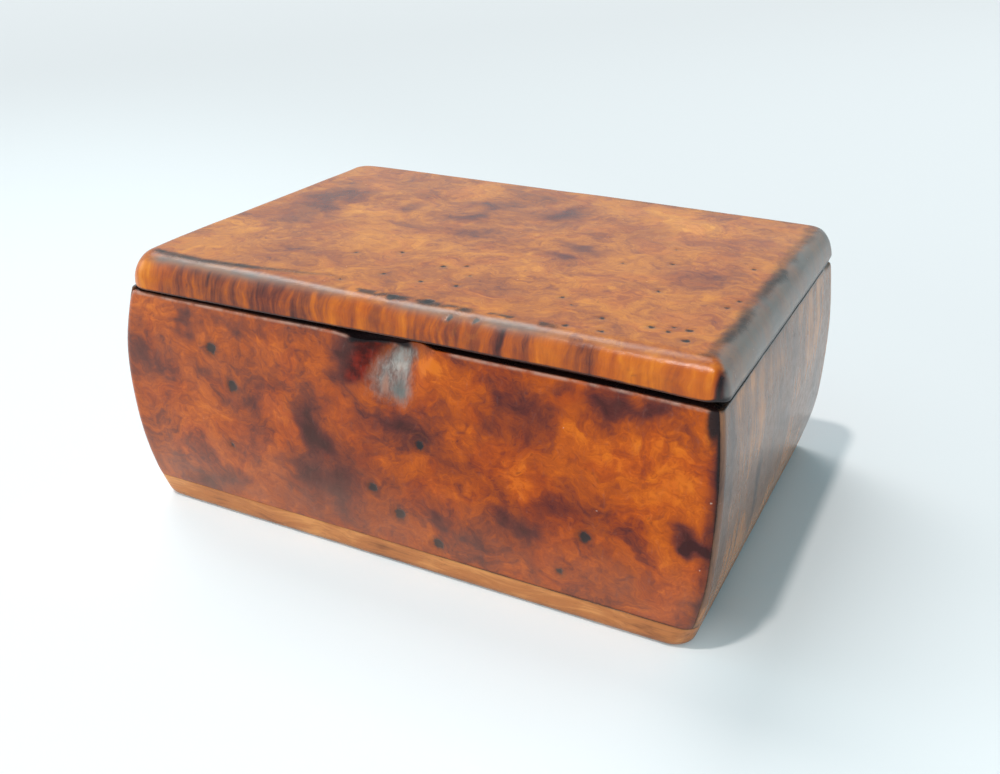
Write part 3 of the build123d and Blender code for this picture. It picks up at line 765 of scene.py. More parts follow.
        # painted shade on the scoop's left flank (dark red), painted light on its right one, and a
        # painted black line of shade just under the lid
        flank = np.exp(-(((x + 3.2 - 0.40 * (zz - 30.0)) / 1.9) ** 2)) * smooth(25.8, 29.2, sz_)
        band = smooth(32.1, 33.0, sz_) * smooth(-5.4, -4.0, sx_) * smooth(4.2, 2.6, sx_)
        painted_sheen_shade = painted_sheen_shade - 1.1 * np.clip(flank * out * (1 - 0.8 * painted_scoop_glare), 0, 1)
        tone = tone + 0.5 * np.exp(-((sx_ - 6.6) / 1.2) ** 2 - ((sz_ - 31.5) / 1.7) ** 2) * out
        dirt_and_shade = np.maximum(dirt_and_shade, 1.0 * band * out)
        # the right arris is dark from handling, with a black wedge at its top
        wedge = 1.25 * np.exp(-(((x - 43.3) / 0.90) ** 2 + (
            (zz - 32.6) / (3.0 + 0.9 * w1)) ** 2)) * out
        thread = 1.0 * np.exp(-(((length - a) / 0.55) ** 2)) * smooth(15.0, 26.0, zz + 3 * w1) * out
        dirt_and_shade = np.maximum.reduce([dirt_and_shade, wedge, thread])
        # painted reflection: a thin pale line down the left arris
        painted_sheen_shade = painted_sheen_shade + 0.42 * np.exp(-((a - 0.25) / 0.30) ** 2) * smooth(7.0, 13.0, zz) * out
        tone = tone - 0.85 * smooth(42.6, 44.4, x + 0.5 * w1) * out
    elif side == "right_end_wall":
        tone = blobs(np.stack([y, zz], 1), TONE_RIGHT)
    return make(side + "_wood", pos, quads, "box", [side], material,
                {"tone": tone, "dirt_and_shade": dirt_and_shade, "painted_veil": painted_veil, "painted_sheen_shade": painted_sheen_shade, "painted_scoop_glare": painted_scoop_glare})


# painted shade: the strong dark patch at (-3.9, 30.4) lies on the scoop's left flank
TONE_FRONT = [
    (-38.4, 32.0, 5.0, 2.2, 0.55), (-23.0, 29.5, 6.0, 2.4, 0.42), (-16.9, 21.5, 1.9, 6.5, 0.46),
    (-12.6, 30.2, 5.0, 2.6, 0.22), (-37.0, 9.0, 5.0, 4.0, 0.30), (-25.0, 9.7, 4.5, 1.1, 0.40),
    (-31.0, 15.0, 6.0, 3.5, 0.18), (1.8, 17.2, 3.0, 1.8, 0.36), (10.6, 29.5, 3.4, 2.4, 0.48),
    (10.4, 22.8, 3.0, 1.6, 0.40), (19.0, 19.2, 1.4, 2.2, 0.75), (19.3, 17.0, 1.4, 1.6, 0.60),
    (6.4, 16.2, 3.0, 1.3, 0.42), (12.6, 15.0, 3.4, 1.4, 0.42), (39.0, 27.5, 6.0, 4.6, 0.55),
    (37.5, 22.0, 7.0, 4.0, 0.46), (33.0, 27.0, 5.0, 2.6, 0.28), (26.7, 26.7, 4.0, 1.3, 0.45),
    (39.0, 10.5, 5.0, 4.0, 0.30), (18.8, 5.8, 3.4, 1.8, 0.32), (33.0, 17.0, 6.0, 3.0, 0.20),
    (7.6, 31.4, 1.9, 1.6, 0.60), (-1.9, 24.1, 1.1, 0.8, 1.0), (30.0, 5.0, 6.0, 1.8, 0.18),
    (-32.3, 30.1, 2.8, 1.2, -0.85), (-25.5, 31.6, 3.8, 1.0, -0.80), (-41.1, 25.5, 2.4, 3.2, -0.60),
    (-29.8, 22.6, 2.0, 1.6, -0.60), (-37.0, 22.4, 3.6, 1.6, -0.35), (-23.0, 19.3, 4.2, 1.2, -0.50),
    (-7.4, 29.4, 2.2, 1.6, -0.70), (-11.0, 18.6, 3.0, 2.4, -0.75), (-33.5, 6.3, 5.0, 1.4, -0.60),
    (-14.4, 11.5, 4.6, 2.2, -0.50), (-10.8, 9.6, 4.6, 2.4, -0.50), (-8.0, 6.5, 5.6, 2.2, -0.55),
    (15.7, 28.6, 1.3, 1.6, -0.60), (14.6, 25.5, 1.9, 1.0, -0.80), (20.6, 26.9, 4.6, 2.0, -0.80),
    (30.7, 32.0, 4.8, 1.7, -1.0), (37.0, 32.6, 3.0, 1.1, -0.70), (4.5, 21.0, 3.2, 2.0, -0.65),
    (0.5, 23.0, 3.0, 1.4, -0.45), (25.3, 17.9, 5.2, 2.0, -0.52), (17.8, 13.3, 2.0, 2.0, -0.80),
    (22.0, 12.0, 2.2, 2.6, -0.90), (22.1, 6.6, 1.3, 2.6, -0.60), (31.6, 11.6, 3.6, 1.1, -0.36),
    (42.6, 15.3, 1.7, 1.1, -2.2), (41.4, 17.4, 1.7, 0.9, -1.2), (43.4, 5.4, 1.1, 2.0, -1.2),
    (7.4, 8.9, 1.1, 0.9, -0.80), (12.6, 8.0, 5.0, 1.4, -0.25), (-3.9, 30.4, 2.0, 3.4, -1.5),
    (-20.0, 26.0, 3.0, 2.0, -0.20), (12.0, 31.6, 3.0, 1.4, -0.30),
    (-11.5, 17.4, 3.8, 4.6, -0.60), (2.0, 14.0, 14.0, 11.0, -0.12), (-4.0, 15.5, 3.6, 2.6, -0.45),
    (-9.0, 12.0, 4.5, 2.6, -0.40), (-24.0, 5.6, 9.0, 1.6, -0.30), (34.0, 21.0, 7.0, 8.0, -0.16),
    (-30.0, 21.0, 11.0, 10.0, 0.14), (0.0, 23.0, 2.0, 2.6, -0.35), (22.0, 30.0, 9.0, 1.6, -0.25),
    (-14.6, 20.0, 1.0, 4.6, 0.35), (-6.5, 22.4, 1.2, 2.4, 0.40), (2.0, 6.0, 5.0, 2.6, 0.20),
]
# painted: the wide lighter, warmer patch low on the end at (-14, 5.5) stands in for the weaker
# reflection there
TONE_RIGHT = [
    (-28, 20, 2.5, 20, -0.7), (-22, 10, 6, 7, 0.7), (-15, 27, 7, 6, 0.35), (-6, 14, 5, 9, -0.5),
    (3, 24, 6, 8, -0.45), (10, 9, 7, 6, 0.9), (17, 26, 6, 7, 0.7), (22, 14, 4, 9, -0.5),
    (-14, 5.5, 20, 5.0, 1.1), (-12, 15, 3, 6, -0.6), (-2, 29, 4, 3, 0.6), (26, 28, 3, 4, -0.5),
]

wall("front_wall", m_front, 1.0)
wall("back_wall", m_back, 2.0)
wall("left_end_wall", m_end_l, 3.0)
wall("right_end_wall", m_end_r, 4.0)


# =================================================================================================
# base board
# =================================================================================================
def plan_map(u, v, x0, x1, y0, y1, r):
    """Unit square to a rectangle with rounded corners; r may vary from point to point."""
    x, y = x0 + (x1 - x0) * u, y0 + (y1 - y0) * v
    cx = np.clip(x, x0 + r, x1 - r)
    cy = np.clip(y, y0 + r, y1 - r)
    dx, dy = x - cx, y - cy
    n = np.hypot(dx, dy)
    m = np.maximum(np.abs(dx), np.abs(dy))
    k = np.where(n > 1e-9, m / np.maximum(n, 1e-9), 1.0)
    return cx + dx * k, cy + dy * k


def base_board():
    lx, ly = 86.4, 61.0
    edge = [0.0, 0.1, 0.25, 0.45, 0.7, 1.0, 1.35, 1.7, 2.2, 2.8, 3.5, 4.4]
    s, t = lines(0, lx, 0.8, edge), lines(0, ly, 0.8, edge)
    w = np.array([0.0, 0.03, 0.10, 0.22, 0.40, 0.64, 0.95, 1.3, 1.8, 2.4, 2.9, 3.2, 3.36, 3.43,
                  3.47, 3.5])
    ijk, quads = shell(len(s), len(t), len(w))
    u, v, z = s[ijk[:, 0]] / lx, t[ijk[:, 1]] / ly, w[ijk[:, 2]]
    x_ = (u - 0.5) * lx
    foot = 0.82 + 0.3 * np.exp(-((x_ + 43) / 3) ** 2)
    k = np.clip(1 - z / foot, 0, 1)
    inset = foot * (1 - np.sqrt(np.maximum(1 - k**2, 0)))
    kt = np.clip(1 - (BASE_T - z) / 0.10, 0, 1)
    inset = inset + 0.10 * (1 - np.sqrt(np.maximum(1 - kt**2, 0))) + SKIN
    r = np.zeros(len(z))
    for c, (sx, sy) in CORNER.items():
        here = ((u > 0.5) == (sx > 0)) & ((v > 0.5) == (sy > 0))
        r = np.where(here, arris(c, z), r)
    r = np.maximum(r - 0.5 * (inset - SKIN), 0.45)
    x, y = plan_map(u, v, -xl_at(z) + inset, xr_at(z) - inset, -yf_at(z) + inset,
                    yb_at(z) - inset, r)
    p = np.stack([x, y, z], 1)
    rim = np.clip(1 - np.minimum(np.minimum(u, 1 - u) * lx, np.minimum(v, 1 - v) * ly) / 0.4, 0, 1)
    lump = np.maximum(0, 0.02 + 0.04 * fbm(p, 7.0, 6.0, 2)) * rim * smooth(0.0, 0.8, z)
    p[:, 0] -= np.sign(x) * lump * (np.minimum(u, 1 - u) * lx < 0.5)
    p[:, 1] -= np.sign(y) * lump * (np.minimum(v, 1 - v) * ly < 0.5)
    joint = np.where(v < 0.5, 0.15 + 0.75 * smooth(-16.0, 22.0, x), 0.8)
    # dark line at the joint with the walls, and painted shade along the foot, near the floor
    dirt_and_shade = np.clip(np.exp(-((BASE_T - z) / 0.10) ** 2) * joint
                    + 0.60 * np.exp(-(z / 0.75) ** 2) * rim, 0, 1)
    # painted light: the edge is lighter towards its top
    tone = 0.25 * fbm(p, 14.0, 8.0, 2) + 0.35 * rim * smooth(1.6, 3.0, z)
    return make("base_board_wood", p, quads, "box", ["base_board"], m_base,
                {"tone": tone, "dirt_and_shade": dirt_and_shade})


base_board()


# =================================================================================================
# lid
# =================================================================================================
TONE_LID = [
    (-33.4, 8.3, 4.0, 6.0, -0.60), (-33.0, -0.3, 5.0, 4.0, -0.55), (-33.0, -5.9, 5.0, 3.0, -0.45),
    (-18.2, 7.3, 2.0, 3.0, -0.60), (-8.1, 6.9, 2.4, 3.0, -0.75), (-2.8, 1.9, 2.4, 3.0, -0.60),
    (-12.7, 0.3, 6.0, 1.4, -0.55), (6.6, 15.5, 3.0, 5.0, -0.90), (-7.3, 14.2, 3.0, 4.0, -0.60),
    (-0.3, 13.3, 4.0, 4.0, -0.45), (11.9, -3.2, 3.0, 1.3, -0.65), (15.6, 1.1, 4.0, 1.6, -0.70),
    (-4.0, 24.0, 8.0, 3.0, -0.35), (-24.0, 20.0, 4.0, 4.0, -0.25), (20.0, 10.0, 6.0, 3.0, -0.22),
    (-20.0, -18.0, 8.0, 3.0, -0.22), (33.0, -4.0, 5.0, 3.0, -0.25),
    (-27.3, 4.0, 5.0, 2.0, 0.45), (-37.4, -12.3, 5.0, 3.0, 0.50), (27.6, 18.0, 6.0, 3.0, 0.55),
    (-11.0, -7.3, 10.0, 3.0, 0.35), (10.0, -11.0, 8.0, 4.0, 0.25), (25.0, -12.4, 8.0, 3.0, 0.22),
    (-13.8, 22.5, 6.0, 4.0, 0.30), (18.3, 22.2, 5.0, 3.0, 0.25), (30.0, 8.0, 8.0, 5.0, 0.15),
    (12.0, -22.0, 8.0, 3.0, -0.15), (0.0, -17.5, 9.0, 3.0, -0.18), (36.0, 10.0, 6.0, 14.0, -0.16),
]
EDGE_X = [-44, -41, -39.6, -37, -35, -33, -26, -23, -19, -14, -11, -9, -7.6, -5.5, -3, 0, 3, 6, 8.5,
          10.4, 12.5, 14.9, 15.8, 16.4, 17.1, 18, 19.3, 19.8, 20.5, 22, 24.6, 26.4, 27.3, 28.0,
          28.9, 29.8, 32, 35, 39, 41.3, 42.6, 43.2, 43.8]
EDGE_TONE = [-0.2, 0.3, 0.70, 0.1, -0.25, -0.30, -0.30, -0.15, -0.40, -0.40, -0.35, -0.10, 0.70,
             0.45, 0.20, 0.25, 0.15, 0.05, -0.25, 0.00, 0.15, 0.30, -0.2, -0.9, -0.2, 0.40, -0.25,
             -0.65, 0.10, 0.30, 0.50, 0.10, -0.5, -0.85, -0.3, 0.30, 0.40, 0.55, 0.45, 0.70, 0.50,
             -0.6, -1.4]


def lid_ease(x):
    """How far the lid's lower front edge is worn up, along the front."""
    return np.interp(x, [-44, -36, -29, -20, -12, -4, 3, 10, 17, 23, 30, 36, 40, 45],
                     [0.0, 0.0, 0.04, 0.14, 0.34, 0.50, 0.62, 0.74, 0.76, 0.88, 0.82, 0.68, 0.55,
                      0.40])


def lid():
    end = [0.0, 0.04, 0.09, 0.16] + [LID_END_H * (1 - math.cos(math.radians(k))) for k in
                                     (22, 30, 38, 46, 54, 62, 70, 78, 84, 90)] + [3.4, 3.8, 4.2]
    frt = [0.0, 0.04, 0.09, 0.16] + [LID_FRONT_R * (1 - math.cos(math.radians(k))) for k in
                                     (26, 34, 42, 50, 58, 66, 74, 82, 90)] + [2.8, 3.4, 4.2]
    fx0, fx1, fy = CAV_X0 + FIELD_GAP, CAV_X1 - FIELD_GAP, CAV_Y - FIELD_GAP
    dx0, dx1, dy = fx0 + DISH_MARGIN, fx1 - DISH_MARGIN, fy - DISH_MARGIN
    mx = []
    for q in (fx0, fx1, dx0, dx1):
        mx += [q - 0.22, q - 0.10, q - 0.02, q + 0.02, q + 0.10, q + 0.22]
    mx += [HINGE_X0 - 0.27, HINGE_X0 - 0.24, HINGE_X1 + 0.24, HINGE_X1 + 0.27]
    my = []
    for q in (-fy, fy, -dy, dy):
        my += [q - 0.22, q - 0.10, q - 0.02, q + 0.02, q + 0.10, q + 0.22]
    my += [LEAF_Y0 - 0.06, LEAF_Y0 - 0.03, AXIS_Y - POCKET_R - 0.02, AXIS_Y - POCKET_R + 0.01,
           28.1, 28.25, 28.45, 28.7, 28.95, 29.02, 29.06, 29.2, 29.4, 29.6, 29.78, 30.0]
    s = lines(LID_X0 + SKIN, LID_X1 - SKIN, 0.5, end, mx)
    t = lines(-LID_YF + SKIN, LID_YB - SKIN, 0.5, frt, my)
    w = np.linspace(0, 1, 9)
    ijk, quads = shell(len(s), len(t), len(w))
    x0, x1, y0, y1 = s[0], s[-1], t[0], t[-1]
    u, v = (s[ijk[:, 0]] - x0) / (x1 - x0), (t[ijk[:, 1]] - y0) / (y1 - y0)
    h = w[ijk[:, 2]]
    xa, ya = s[ijk[:, 0]], t[ijk[:, 1]]
    r = np.where((xa > 0) & (ya < 0), LID_CORNER_CRISP, LID_CORNER_R)
    x, y = plan_map(u, v, x0, x1, y0, y1, r)
    # distance in from the outline, and how much it looks at an end rather than the front or back
    cx, cy = np.clip(xa, x0 + r, x1 - r), np.clip(ya, y0 + r, y1 - r)
    corner = (np.abs(xa - cx) > 0) & (np.abs(ya - cy) > 0)
    d_end = np.minimum(xa - x0, x1 - xa)
    d_side = np.minimum(ya - y0, y1 - ya)
    d = np.maximum(np.minimum(d_end, d_side), 0)
    th = np.arctan2(y - cy, x - cx)
    soft = 0.85 * r
    end_part = smooth(-soft, soft, d_side - d_end)
    p0 = np.stack([x, y, np.full(len(x), HEIGHT)], 1)
    # the front edge is rounder than the back one, and rounder in places
    edge_r = np.where(ya < 0, LID_FRONT_R + 0.95 + 0.35 * fbm(p0, 9.0, 3.0, 2), LID_FRONT_R)
    rh = edge_r + (LID_END_H - edge_r) * end_part + 0.10 * fbm(p0, 12.0, 3.0, 1)
    rv = edge_r + (LID_END_V - edge_r) * end_part
    # the front left corner is the most handled, and the roundest
    fl = np.exp(-((y + 30.0) / 7.0) ** 2 - ((x + 43.0) / 7.0) ** 2)
    rh, rv = rh + 0.8 * fl, rv + 0.7 * fl
    k = np.clip(1 - d / rh, 0, 1)
    drop = rv * (1 - np.sqrt(np.maximum(1 - k**2, 0)))
    crown = 0.02 * (1 - smooth(2, 20, d)) + 0.01
    eye = eye_field(np.stack([x, y], 1), EYES_LID)
    lump = np.maximum(0, 0.03 + 0.045 * fbm(p0, 10.0, 5.0, 2)) + 0.015 * np.maximum(
        0, fbm(p0, 2.4, 7.0, 2))
    dip = 0.16 * np.exp(-((x - 4) / 20) ** 2) * np.exp(-((y + 30) / 7) ** 2) - 0.10 * np.exp(
        -((x + 30) / 14) ** 2) * smooth(6.0, 26.0, y)
    back_right = 0.30 * smooth(12.0, 42.0, x) * smooth(8.0, 29.0, y)
    z_top = HEIGHT - drop - crown - lump - dip - back_right - 0.12 * smooth(0.4, -0.4, eye)
    z_top = np.minimum(z_top, HEIGHT - 0.01)
    # underside
    kb = np.clip(1 - d / 0.16, 0, 1)
    lower = 0.16 * (1 - np.sqrt(np.maximum(1 - kb**2, 0)))
    front = np.exp(-((np.maximum(y + LID_YF, 0)) / 0.9) ** 2)
    z_bot = LID_Z + lower + lid_ease(x) * front
    z_bot = z_bot - 0.10 * np.exp(-((x + 42) / 8) ** 2) * front
    z_bot = z_bot + np.maximum(0, y - notch_y(x)) * V_SLOPE
    z_bot = z_bot + 0.48 * np.exp(-(np.maximum(LID_X1 - x, 0) / 1.7) ** 2) * smooth(28.5, 26.5, y)

    def step(a, lo, hi, soft=0.10):
        return np.clip((a - lo) / soft + 0.5, 0, 1) * np.clip((hi - a) / soft + 0.5, 0, 1)

    fld = step(x, fx0, fx1, 0.18) * step(y, -fy, fy, 0.18)
    dsh = step(x, dx0, dx1) * step(y, -dy, dy)
    z_bot = np.where(fld > 0, z_bot + (LID_Z - FIELD_DROP - z_bot) * fld, z_bot)
    z_bot = np.where(dsh > 0, z_bot + (DISH_Z - z_bot) * dsh, z_bot)
    in_x = (x > HINGE_X0 - 0.25) & (x < HINGE_X1 + 0.25)
    dd = np.abs(y - AXIS_Y)
    ch = AXIS_Z + np.sqrt(np.maximum(POCKET_R**2 - dd**2, 0))
    z_bot = np.where(in_x & (dd < POCKET_R), np.maximum(z_bot, ch), z_bot)
    z_bot = np.where(in_x & (y > LEAF_Y0 - 0.05) & (y <= AXIS_Y),
                     np.maximum(z_bot, LID_Z + LEAF_T), z_bot)
    z_top = np.maximum(z_top, z_bot + 0.15)
    z = z_bot + (z_top - z_bot) * h
    # on the sides the outline wanders a little
    lumps = np.maximum(0, 0.03 + 0.05 * fbm(np.stack([x, y, z], 1), 8.0, 12.0, 2))
    wob = lumps * smooth(3.0, 0.0, d)
    nx = np.where(corner, np.cos(th), np.where(d_end < d_side, np.sign(xa - 0.5), 0))
    ny = np.where(corner, np.sin(th), np.where(d_end < d_side, 0, np.sign(ya)))
    wob = wob + chipped(x, y, z - LID_Z) * smooth(3.0, 0.0, d)
    x, y = x - nx * wob, y - ny * wob
    up = h > 0.5
    # dark marks: painted shade along the parting line and under the lid's rim, and patina at the
    # front left upper edge and all along the right one
    n1 = 0.5 + 0.5 * fbm(np.stack([x, y, z], 1), 3.0, 21.0, 3)
    low = LID_Z + lid_ease(x) * front
    # painted shade along the parting line
    g_low = (np.exp(-((z - z_bot) / (0.15 + 0.21 * smooth(42, 43.5, x))) ** 2)
             * (0.75 + 0.25 * smooth(41, 43, x)) * (d < 1.5))
    # painted shade on the lid's underside near its outline
    under = (z < low + 0.35) * (d > 0.28) * (0.50 + 0.50 * smooth(3.2, 1.8, d))
    n2 = 0.5 + 0.5 * fbm(np.stack([x, y, z], 1), 1.6, 27.0, 3)
    n3 = 0.5 + 0.5 * fbm(np.stack([x, y, z], 1), 7.0, 33.0, 2)
    xr = x - 1.1 * (n3 - 0.5) - 0.08 * (n2 - 0.5)
    g_right = (smooth(39.4, 41.4, xr) * smooth(43.2, 41.6, xr) * smooth(-28.5, -26.5, y)
               * (0.50 + 0.22 * smooth(0.3, 0.7, n3)) * up)
    yc = np.interp(x, [-40, -38, -30.9, -22.9, -17, -10], [-26.9, -27.1, -27.5, -26.7, -25.6, -24.2])
    g_left = (np.exp(-((y - yc) / (0.62 + 0.50 * n1)) ** 2) * up * (0.74 + 0.26 * n2)
              * np.interp(x, [-41, -39, -34, -26, -20, -14, -8],
                          [0.1, 1.0, 1.0, 0.95, 0.75, 0.55, 0.2]))
    g_mid = np.exp(-((y + 27.2) / 0.8) ** 2) * smooth(0.30, 0.55, n1) * up * 0.88 * smooth(
        -12, -4, x) * smooth(27.0, 21.0, x)
    g_back = np.exp(-((y - 28.0) / 0.9) ** 2) * smooth(-4, 12, x) * smooth(0.2, 0.6, n1) * up * 0.5
    g_corner = np.exp(-(((x - 43.35) / 0.34) ** 2)) * (y < -28.0) * smooth(38.2, 37.4, z) * 0.85
    g_tip = np.exp(-(((x - 41.0) / 1.6) ** 2 + ((y + 27.4) / 0.6) ** 2)) * up * 0.62
    dirt_and_shade = np.clip(np.maximum.reduce([g_low, under, g_right, g_left, g_mid, g_back, g_corner,
                                       g_tip]), 0, 1)
    p = np.stack([x, y, z], 1)
    rag = ragged(p, 51.0)
    edge = smooth(-28.3, -29.4, y) * smooth(38.75, 38.0, z)
    tone = blobs(np.stack([x, y], 1) + rag, TONE_LID)
    tone = tone * (1 - edge) + edge * np.interp(x, EDGE_X, EDGE_TONE)
    # painted reflection: a grey veil on the right end and round its corner
    turn = smooth(-26.5, -29.0, y)
    painted_veil = smooth(0.0, 1.0, (x + 0.5 * (n1 - 0.5) - 41.2 - 2.1 * turn) / (1.1 - 0.3 * turn))
    painted_veil = painted_veil * smooth(-29.9, -29.2, y)
    # painted reflection: a grey veil along the rounded front edge, under the highlight, stronger in
    # some places than in others
    grey_mix = np.interp(x, [-40, -37.5, -20, -13, -9, -6, -3, 0, 3, 8, 12, 16, 20, 23, 26, 40, 42],
                     [0.0, 0.95, 1.0, 0.70, 0.80, 0.50, 0.15, 0.50, 0.90, 0.80, 0.60, 0.95, 1.0,
                      0.55, 0.30, 0.20, 0.0])
    painted_veil = np.maximum(painted_veil, grey_mix * np.exp(-((d_side - 1.85) / 0.75) ** 2) * (ya < 0) * up)
    return make("lid_wood", np.stack([x, y, z], 1), quads, "lid", ["lid"], m_lid,
                {"tone": tone, "edge": edge, "dirt_and_shade": dirt_and_shade, "painted_veil": painted_veil})


lid()


# =================================================================================================
# tin-foil linings
# =================================================================================================
def lining(name, body, node, x0, x1, y0, y1, z_floor, z_open, thick, seed):
    """An open tray of thin creased foil; z_open may lie above or below the floor."""
    up = 1 if z_open > z_floor else -1
    deep = abs(z_open - z_floor)
    lx, ly = x1 - x0, y1 - y0
    edge = [0.0, 0.15, 0.3, 0.45]
    s, t, w = lines(0, lx, 0.8, edge), lines(0, ly, 0.8, edge), lines(0, deep, 0.7, edge)
    ijk, quads = shell(len(s), len(t), len(w), skip=("w1",))
    used = np.unique(quads)
    remap = -np.ones(len(ijk), int)
    remap[used] = np.arange(len(used))
    ijk, quads = ijk[used], remap[quads]
    c = np.stack([s[ijk[:, 0]], t[ijk[:, 1]], w[ijk[:, 2]]], 1)
    size = (lx, ly, deep + 5.0)
    inner = round_box(c + 0.0, size, 0.45)
    # pull the inner skin in by the foil's thickness and crease it
    mid = np.array([lx / 2, ly / 2, 0])
    k = np.array([(lx - 2 * thick) / lx, (ly - 2 * thick) / ly, 1.0])
    q = (inner - mid) * k + mid
    q[:, 2] = thick + inner[:, 2] * (deep - thick) / deep
    wave = fbm(c, 4.5, seed, 3)
    fine = fbm(c, 1.3, seed + 1, 2)
    lift = np.maximum(0, 0.10 * np.abs(wave) + 0.05 * np.abs(fine))
    is_floor = c[:, 2] < 0.01
    q[:, 2] += lift * is_floor * 1.3
    on_x = (np.minimum(c[:, 0], lx - c[:, 0]) < 0.01) & ~is_floor
    on_y = (np.minimum(c[:, 1], ly - c[:, 1]) < 0.01) & ~is_floor
    q[:, 0] += np.sign(lx / 2 - c[:, 0]) * lift * on_x
    q[:, 1] += np.sign(ly / 2 - c[:, 1]) * lift * on_y
    # the cut edge isn't quite straight
    rim = c[:, 2] > deep - 0.01
    cut = 0.22 * (0.5 + 0.5 * fbm(c, 6.0, seed + 5, 2)) * rim
    q[:, 2] -= cut
    o = c.copy()
    o[:, 2] -= cut
    pts = np.concatenate([q, o])
    n = len(q)
    faces = [quads, quads[:, ::-1] + n]
    # bridge the two skins round the rim
    bm_edges = {}
    for f in quads:
        for a, b in zip(f, np.roll(f, -1)):
            key = (min(a, b), max(a, b))
            bm_edges[key] = bm_edges.get(key, 0) + 1
    strip = [(a, b, b + n, a + n) for (a, b), cnt in bm_edges.items() if cnt == 1]
    faces.append(np.array(strip))
    pts = pts + np.array([x0, y0, 0])
    pts[:, 2] = z_floor + up * pts[:, 2]
    return make(name, pts, np.concatenate(faces), body, [node], m_foil)


lining("foil_box", "box", "foil_lining_body", CAV_X0 + 0.01, CAV_X1 - 0.01, -CAV_Y + 0.01,
       CAV_Y - 0.01, BASE_T + 0.01, FOIL_TOP_Z, FOIL_T, 3.0)
_m = FIELD_GAP + DISH_MARGIN
lining("foil_lid", "lid", "foil_lining_lid", CAV_X0 + _m + 0.06, CAV_X1 - _m - 0.06,
       -CAV_Y + _m + 0.06, CAV_Y - _m - 0.06, DISH_Z - 0.01, LID_Z - FIELD_DROP + 0.4, LID_FOIL_T,
       7.0)

# =================================================================================================
# hinge: the construction's own pieces, with softened edges
# =================================================================================================
for node, mat in (("hinge_leaf_body", m_leaf), ("hinge_leaf_lid", m_leaf), ("hinge_pin", m_pin),
                  ("hinge_nails_body", m_pin), ("hinge_nails_lid", m_pin)):
    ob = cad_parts[node]
    ob.data.materials.clear()
    ob.data.materials.append(mat)

# =================================================================================================
# floor, light, camera
# =================================================================================================
g = Graph("pale_floor")
fp = g.coords_mm()
shade = g.noise(fp, 0.006, 3, 0.5)
fcol = g.mix(g.range(shade, 0.3, 0.7), (0.845, 0.862, 0.872), (0.858, 0.874, 0.882))
# painted shade: the floor's colour darkens towards the back and the far left
away = g.vec("DOT_PRODUCT", fp, (0.55, 0.83, 0.0))
fcol = g.mix(g.range(away, -60.0, 130.0), fcol, (0.706, 0.702, 0.708))
aside = g.vec("DOT_PRODUCT", fp, (-0.90, 0.42, 0.0))
fcol = g.mix(g.range(aside, 0.0, 480.0), fcol, (0.632, 0.622, 0.626))
m_floor = g.finish(fcol, 0.9, g.bump(g.noise(fp, 0.9, 3, 0.5), 0.05, 0.0001),
                   Specular_IOR_Level=0.0)
# painted light: the floor in front of the box glows, filling in the shade the box casts there
f_x, f_y, f_z = g.xyz(fp)
glow = g.mul(g.mul(g.range(f_y, -60.0, -31.0), g.range(f_y, -18.0, -28.0)),
             g.mul(g.range(f_x, -62.0, -40.0), g.range(f_x, 55.0, 36.0)))
paper = next(n for n in g.nt.nodes if n.type == "BSDF_PRINCIPLED")
paper.inputs["Emission Color"].default_value = (0.84, 0.96, 1.0, 1)
g.put(paper.inputs["Emission Strength"], g.mul(glow, 0.175))
me = bpy.data.meshes.new("floor")
me.from_pydata([(-8, -8, 0), (8, -8, 0), (8, 8, 0), (-8, 8, 0)], [], [(0, 1, 2, 3)])
floor = bpy.data.objects.new("floor", me)
me.materials.append(m_floor)
bpy.context.scene.collection.objects.link(floor)

world = bpy.data.worlds.new("studio")
bpy.context.scene.world = world
world.use_nodes = True
wn = world.node_tree
bg = wn.nodes["Background"] if "Background" in wn.nodes else wn.nodes.new("ShaderNodeBackground")
geo = wn.nodes.new("ShaderNodeTexCoord")
sep = wn.nodes.new("ShaderNodeSeparateXYZ")
rmp = wn.nodes.new("ShaderNodeValToRGB")
wn.links.new(geo.outputs["Generated"], sep.inputs[0])
wn.links.new(sep.outputs[2], rmp.inputs[0])
rmp.color_ramp.elements[0].position = 0.0
rmp.color_ramp.elements[0].color = (0.56, 0.88, 0.97, 1)
rmp.color_ramp.elements[1].position = 0.9
rmp.color_ramp.elements[1].color = (0.38, 0.62, 0.72, 1)
bg.inputs[0].default_value = (1.0, 0.975, 0.94, 1)


def lobe(direction, power, gain):
    """A soft bright side of the room."""
    dot = wn.nodes.new("ShaderNodeVectorMath")
    dot.operation = "DOT_PRODUCT"
    wn.links.new(geo.outputs["Generated"], dot.inputs[0])
    dot.inputs[1].default_value = Vector(direction).normalized()
    top = wn.nodes.new("ShaderNodeMath")
    top.operation = "MAXIMUM"
    top.inputs[1].default_value = 0.0
    wn.links.new(dot.outputs["Value"], top.inputs[0])
    pw = wn.nodes.new("ShaderNodeMath")
    pw.operation = "POWER"
    pw.inputs[1].default_value = power
    wn.links.new(top.outputs[0], pw.inputs[0])
    out = wn.nodes.new("ShaderNodeMath")
    out.operation = "MULTIPLY"
    out.inputs[1].default_value = gain
    wn.links.new(pw.outputs[0], out.inputs[0])
    return out.outputs[0]


strength = None
for part in (lobe((-0.50, -0.85, 0.14), 1.8, 0.86), lobe((-0.41, 0.81, 0.43), 4.0, 0.26)):
    add = wn.nodes.new("ShaderNodeMath")
    add.operation = "ADD"
    wn.links.new(part, add.inputs[0])
    if strength is None:
        add.inputs[1].default_value = 0.0
    else:
        wn.links.new(strength, add.inputs[1])
    strength = add.outputs[0]
wn.links.new(strength, bg.inputs[1])
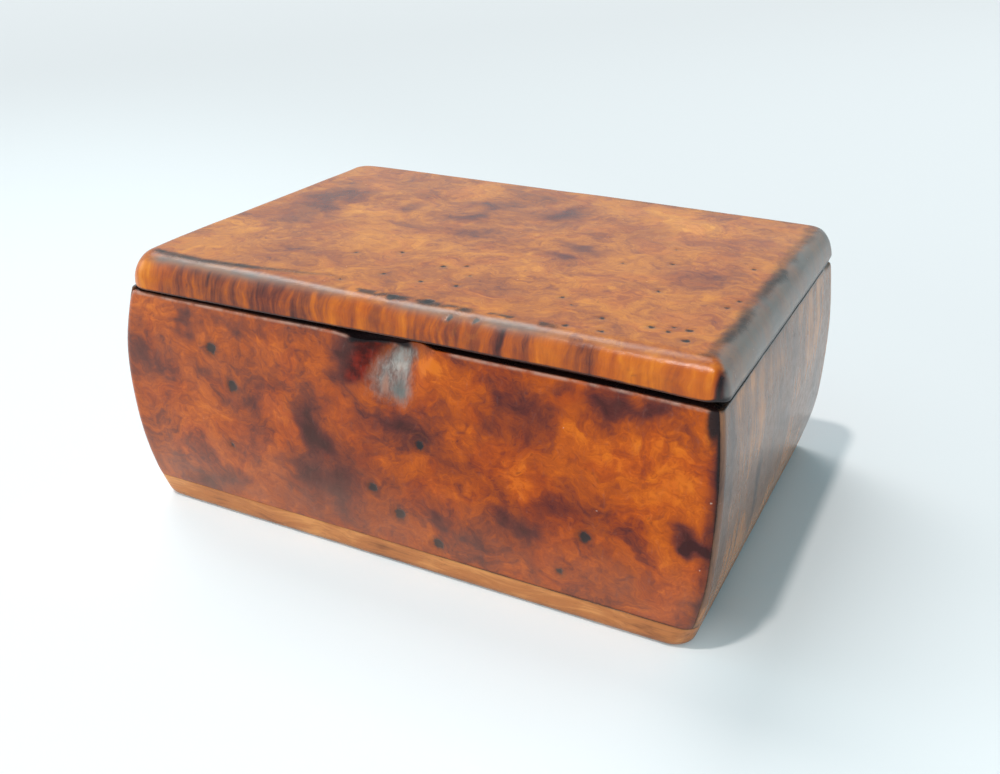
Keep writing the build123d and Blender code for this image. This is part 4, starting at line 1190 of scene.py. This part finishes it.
# the walls of the room: cool and even
cool = wn.nodes.new("ShaderNodeBackground")
cool.inputs[1].default_value = 0.61
wn.links.new(rmp.outputs[0], cool.inputs[0])
both = wn.nodes.new("ShaderNodeAddShader")
wn.links.new(bg.outputs[0], both.inputs[0])
wn.links.new(cool.outputs[0], both.inputs[1])
wout = wn.nodes["World Output"] if "World Output" in wn.nodes else wn.nodes.new(
    "ShaderNodeOutputWorld")
wn.links.new(both.outputs[0], wout.inputs[0])


def area(name, at, size, watts, colour=(1, 1, 1), shape="RECTANGLE", aim=(0, 0, 0.02)):
    li = bpy.data.lights.new(name, "AREA")
    li.shape = shape
    li.size, li.size_y = size
    li.energy = watts
    li.color = colour
    ob = bpy.data.objects.new(name, li)
    bpy.context.scene.collection.objects.link(ob)
    ob.location = at
    ob.rotation_euler = (Vector(aim) - Vector(at)).to_track_quat("-Z", "Y").to_euler()
    return ob


sun = bpy.data.lights.new("key", "SUN")
sun.energy = 1.22
sun.angle = math.radians(3.2)
sun.color = (1.0, 0.945, 0.905)
sun_ob = bpy.data.objects.new("key", sun)
bpy.context.scene.collection.objects.link(sun_ob)
sun_ob.rotation_euler = Vector((6.3, 11.5, -37.0)).to_track_quat("-Z", "Y").to_euler()
area("soft_ceiling", (-4.1, 2.9, 6.05), (5.5, 3.4), 318.0, (1.0, 0.97, 0.95), aim=(-4.1, 2.9, 0))
area("left_window", (-7.25, -1.25, 2.5), (4.0, 3.0), 60.0, (1.0, 0.985, 0.96))

cam = bpy.data.cameras.new("camera")
cam.sensor_width = 36.0
cam.sensor_fit = "HORIZONTAL"
cam.lens = 36.0 * 1059.44 / 1000.0
cam.clip_start = 0.005
cam_ob = bpy.data.objects.new("camera", cam)
bpy.context.scene.collection.objects.link(cam_ob)
az, el, roll = math.radians(26.943), math.radians(25.489), math.radians(0.017)
back = Vector((math.sin(az) * math.cos(el), -math.cos(az) * math.cos(el), math.sin(el)))
right = (-back).cross(Vector((0, 0, 1))).normalized()
up = right.cross(-back)
R = right * math.cos(roll) + up * math.sin(roll)
U = up * math.cos(roll) - right * math.sin(roll)
rot = Matrix((R, U, back)).transposed().to_4x4()
target = Vector((1.893, -0.760, 15.240)) * MM
cam_ob.matrix_world = Matrix.Translation(target + back * 164.369 * MM) @ rot
bpy.context.scene.camera = cam_ob

bpy.context.scene.view_settings.view_transform = "Standard"
bpy.context.scene.view_settings.look = "None"
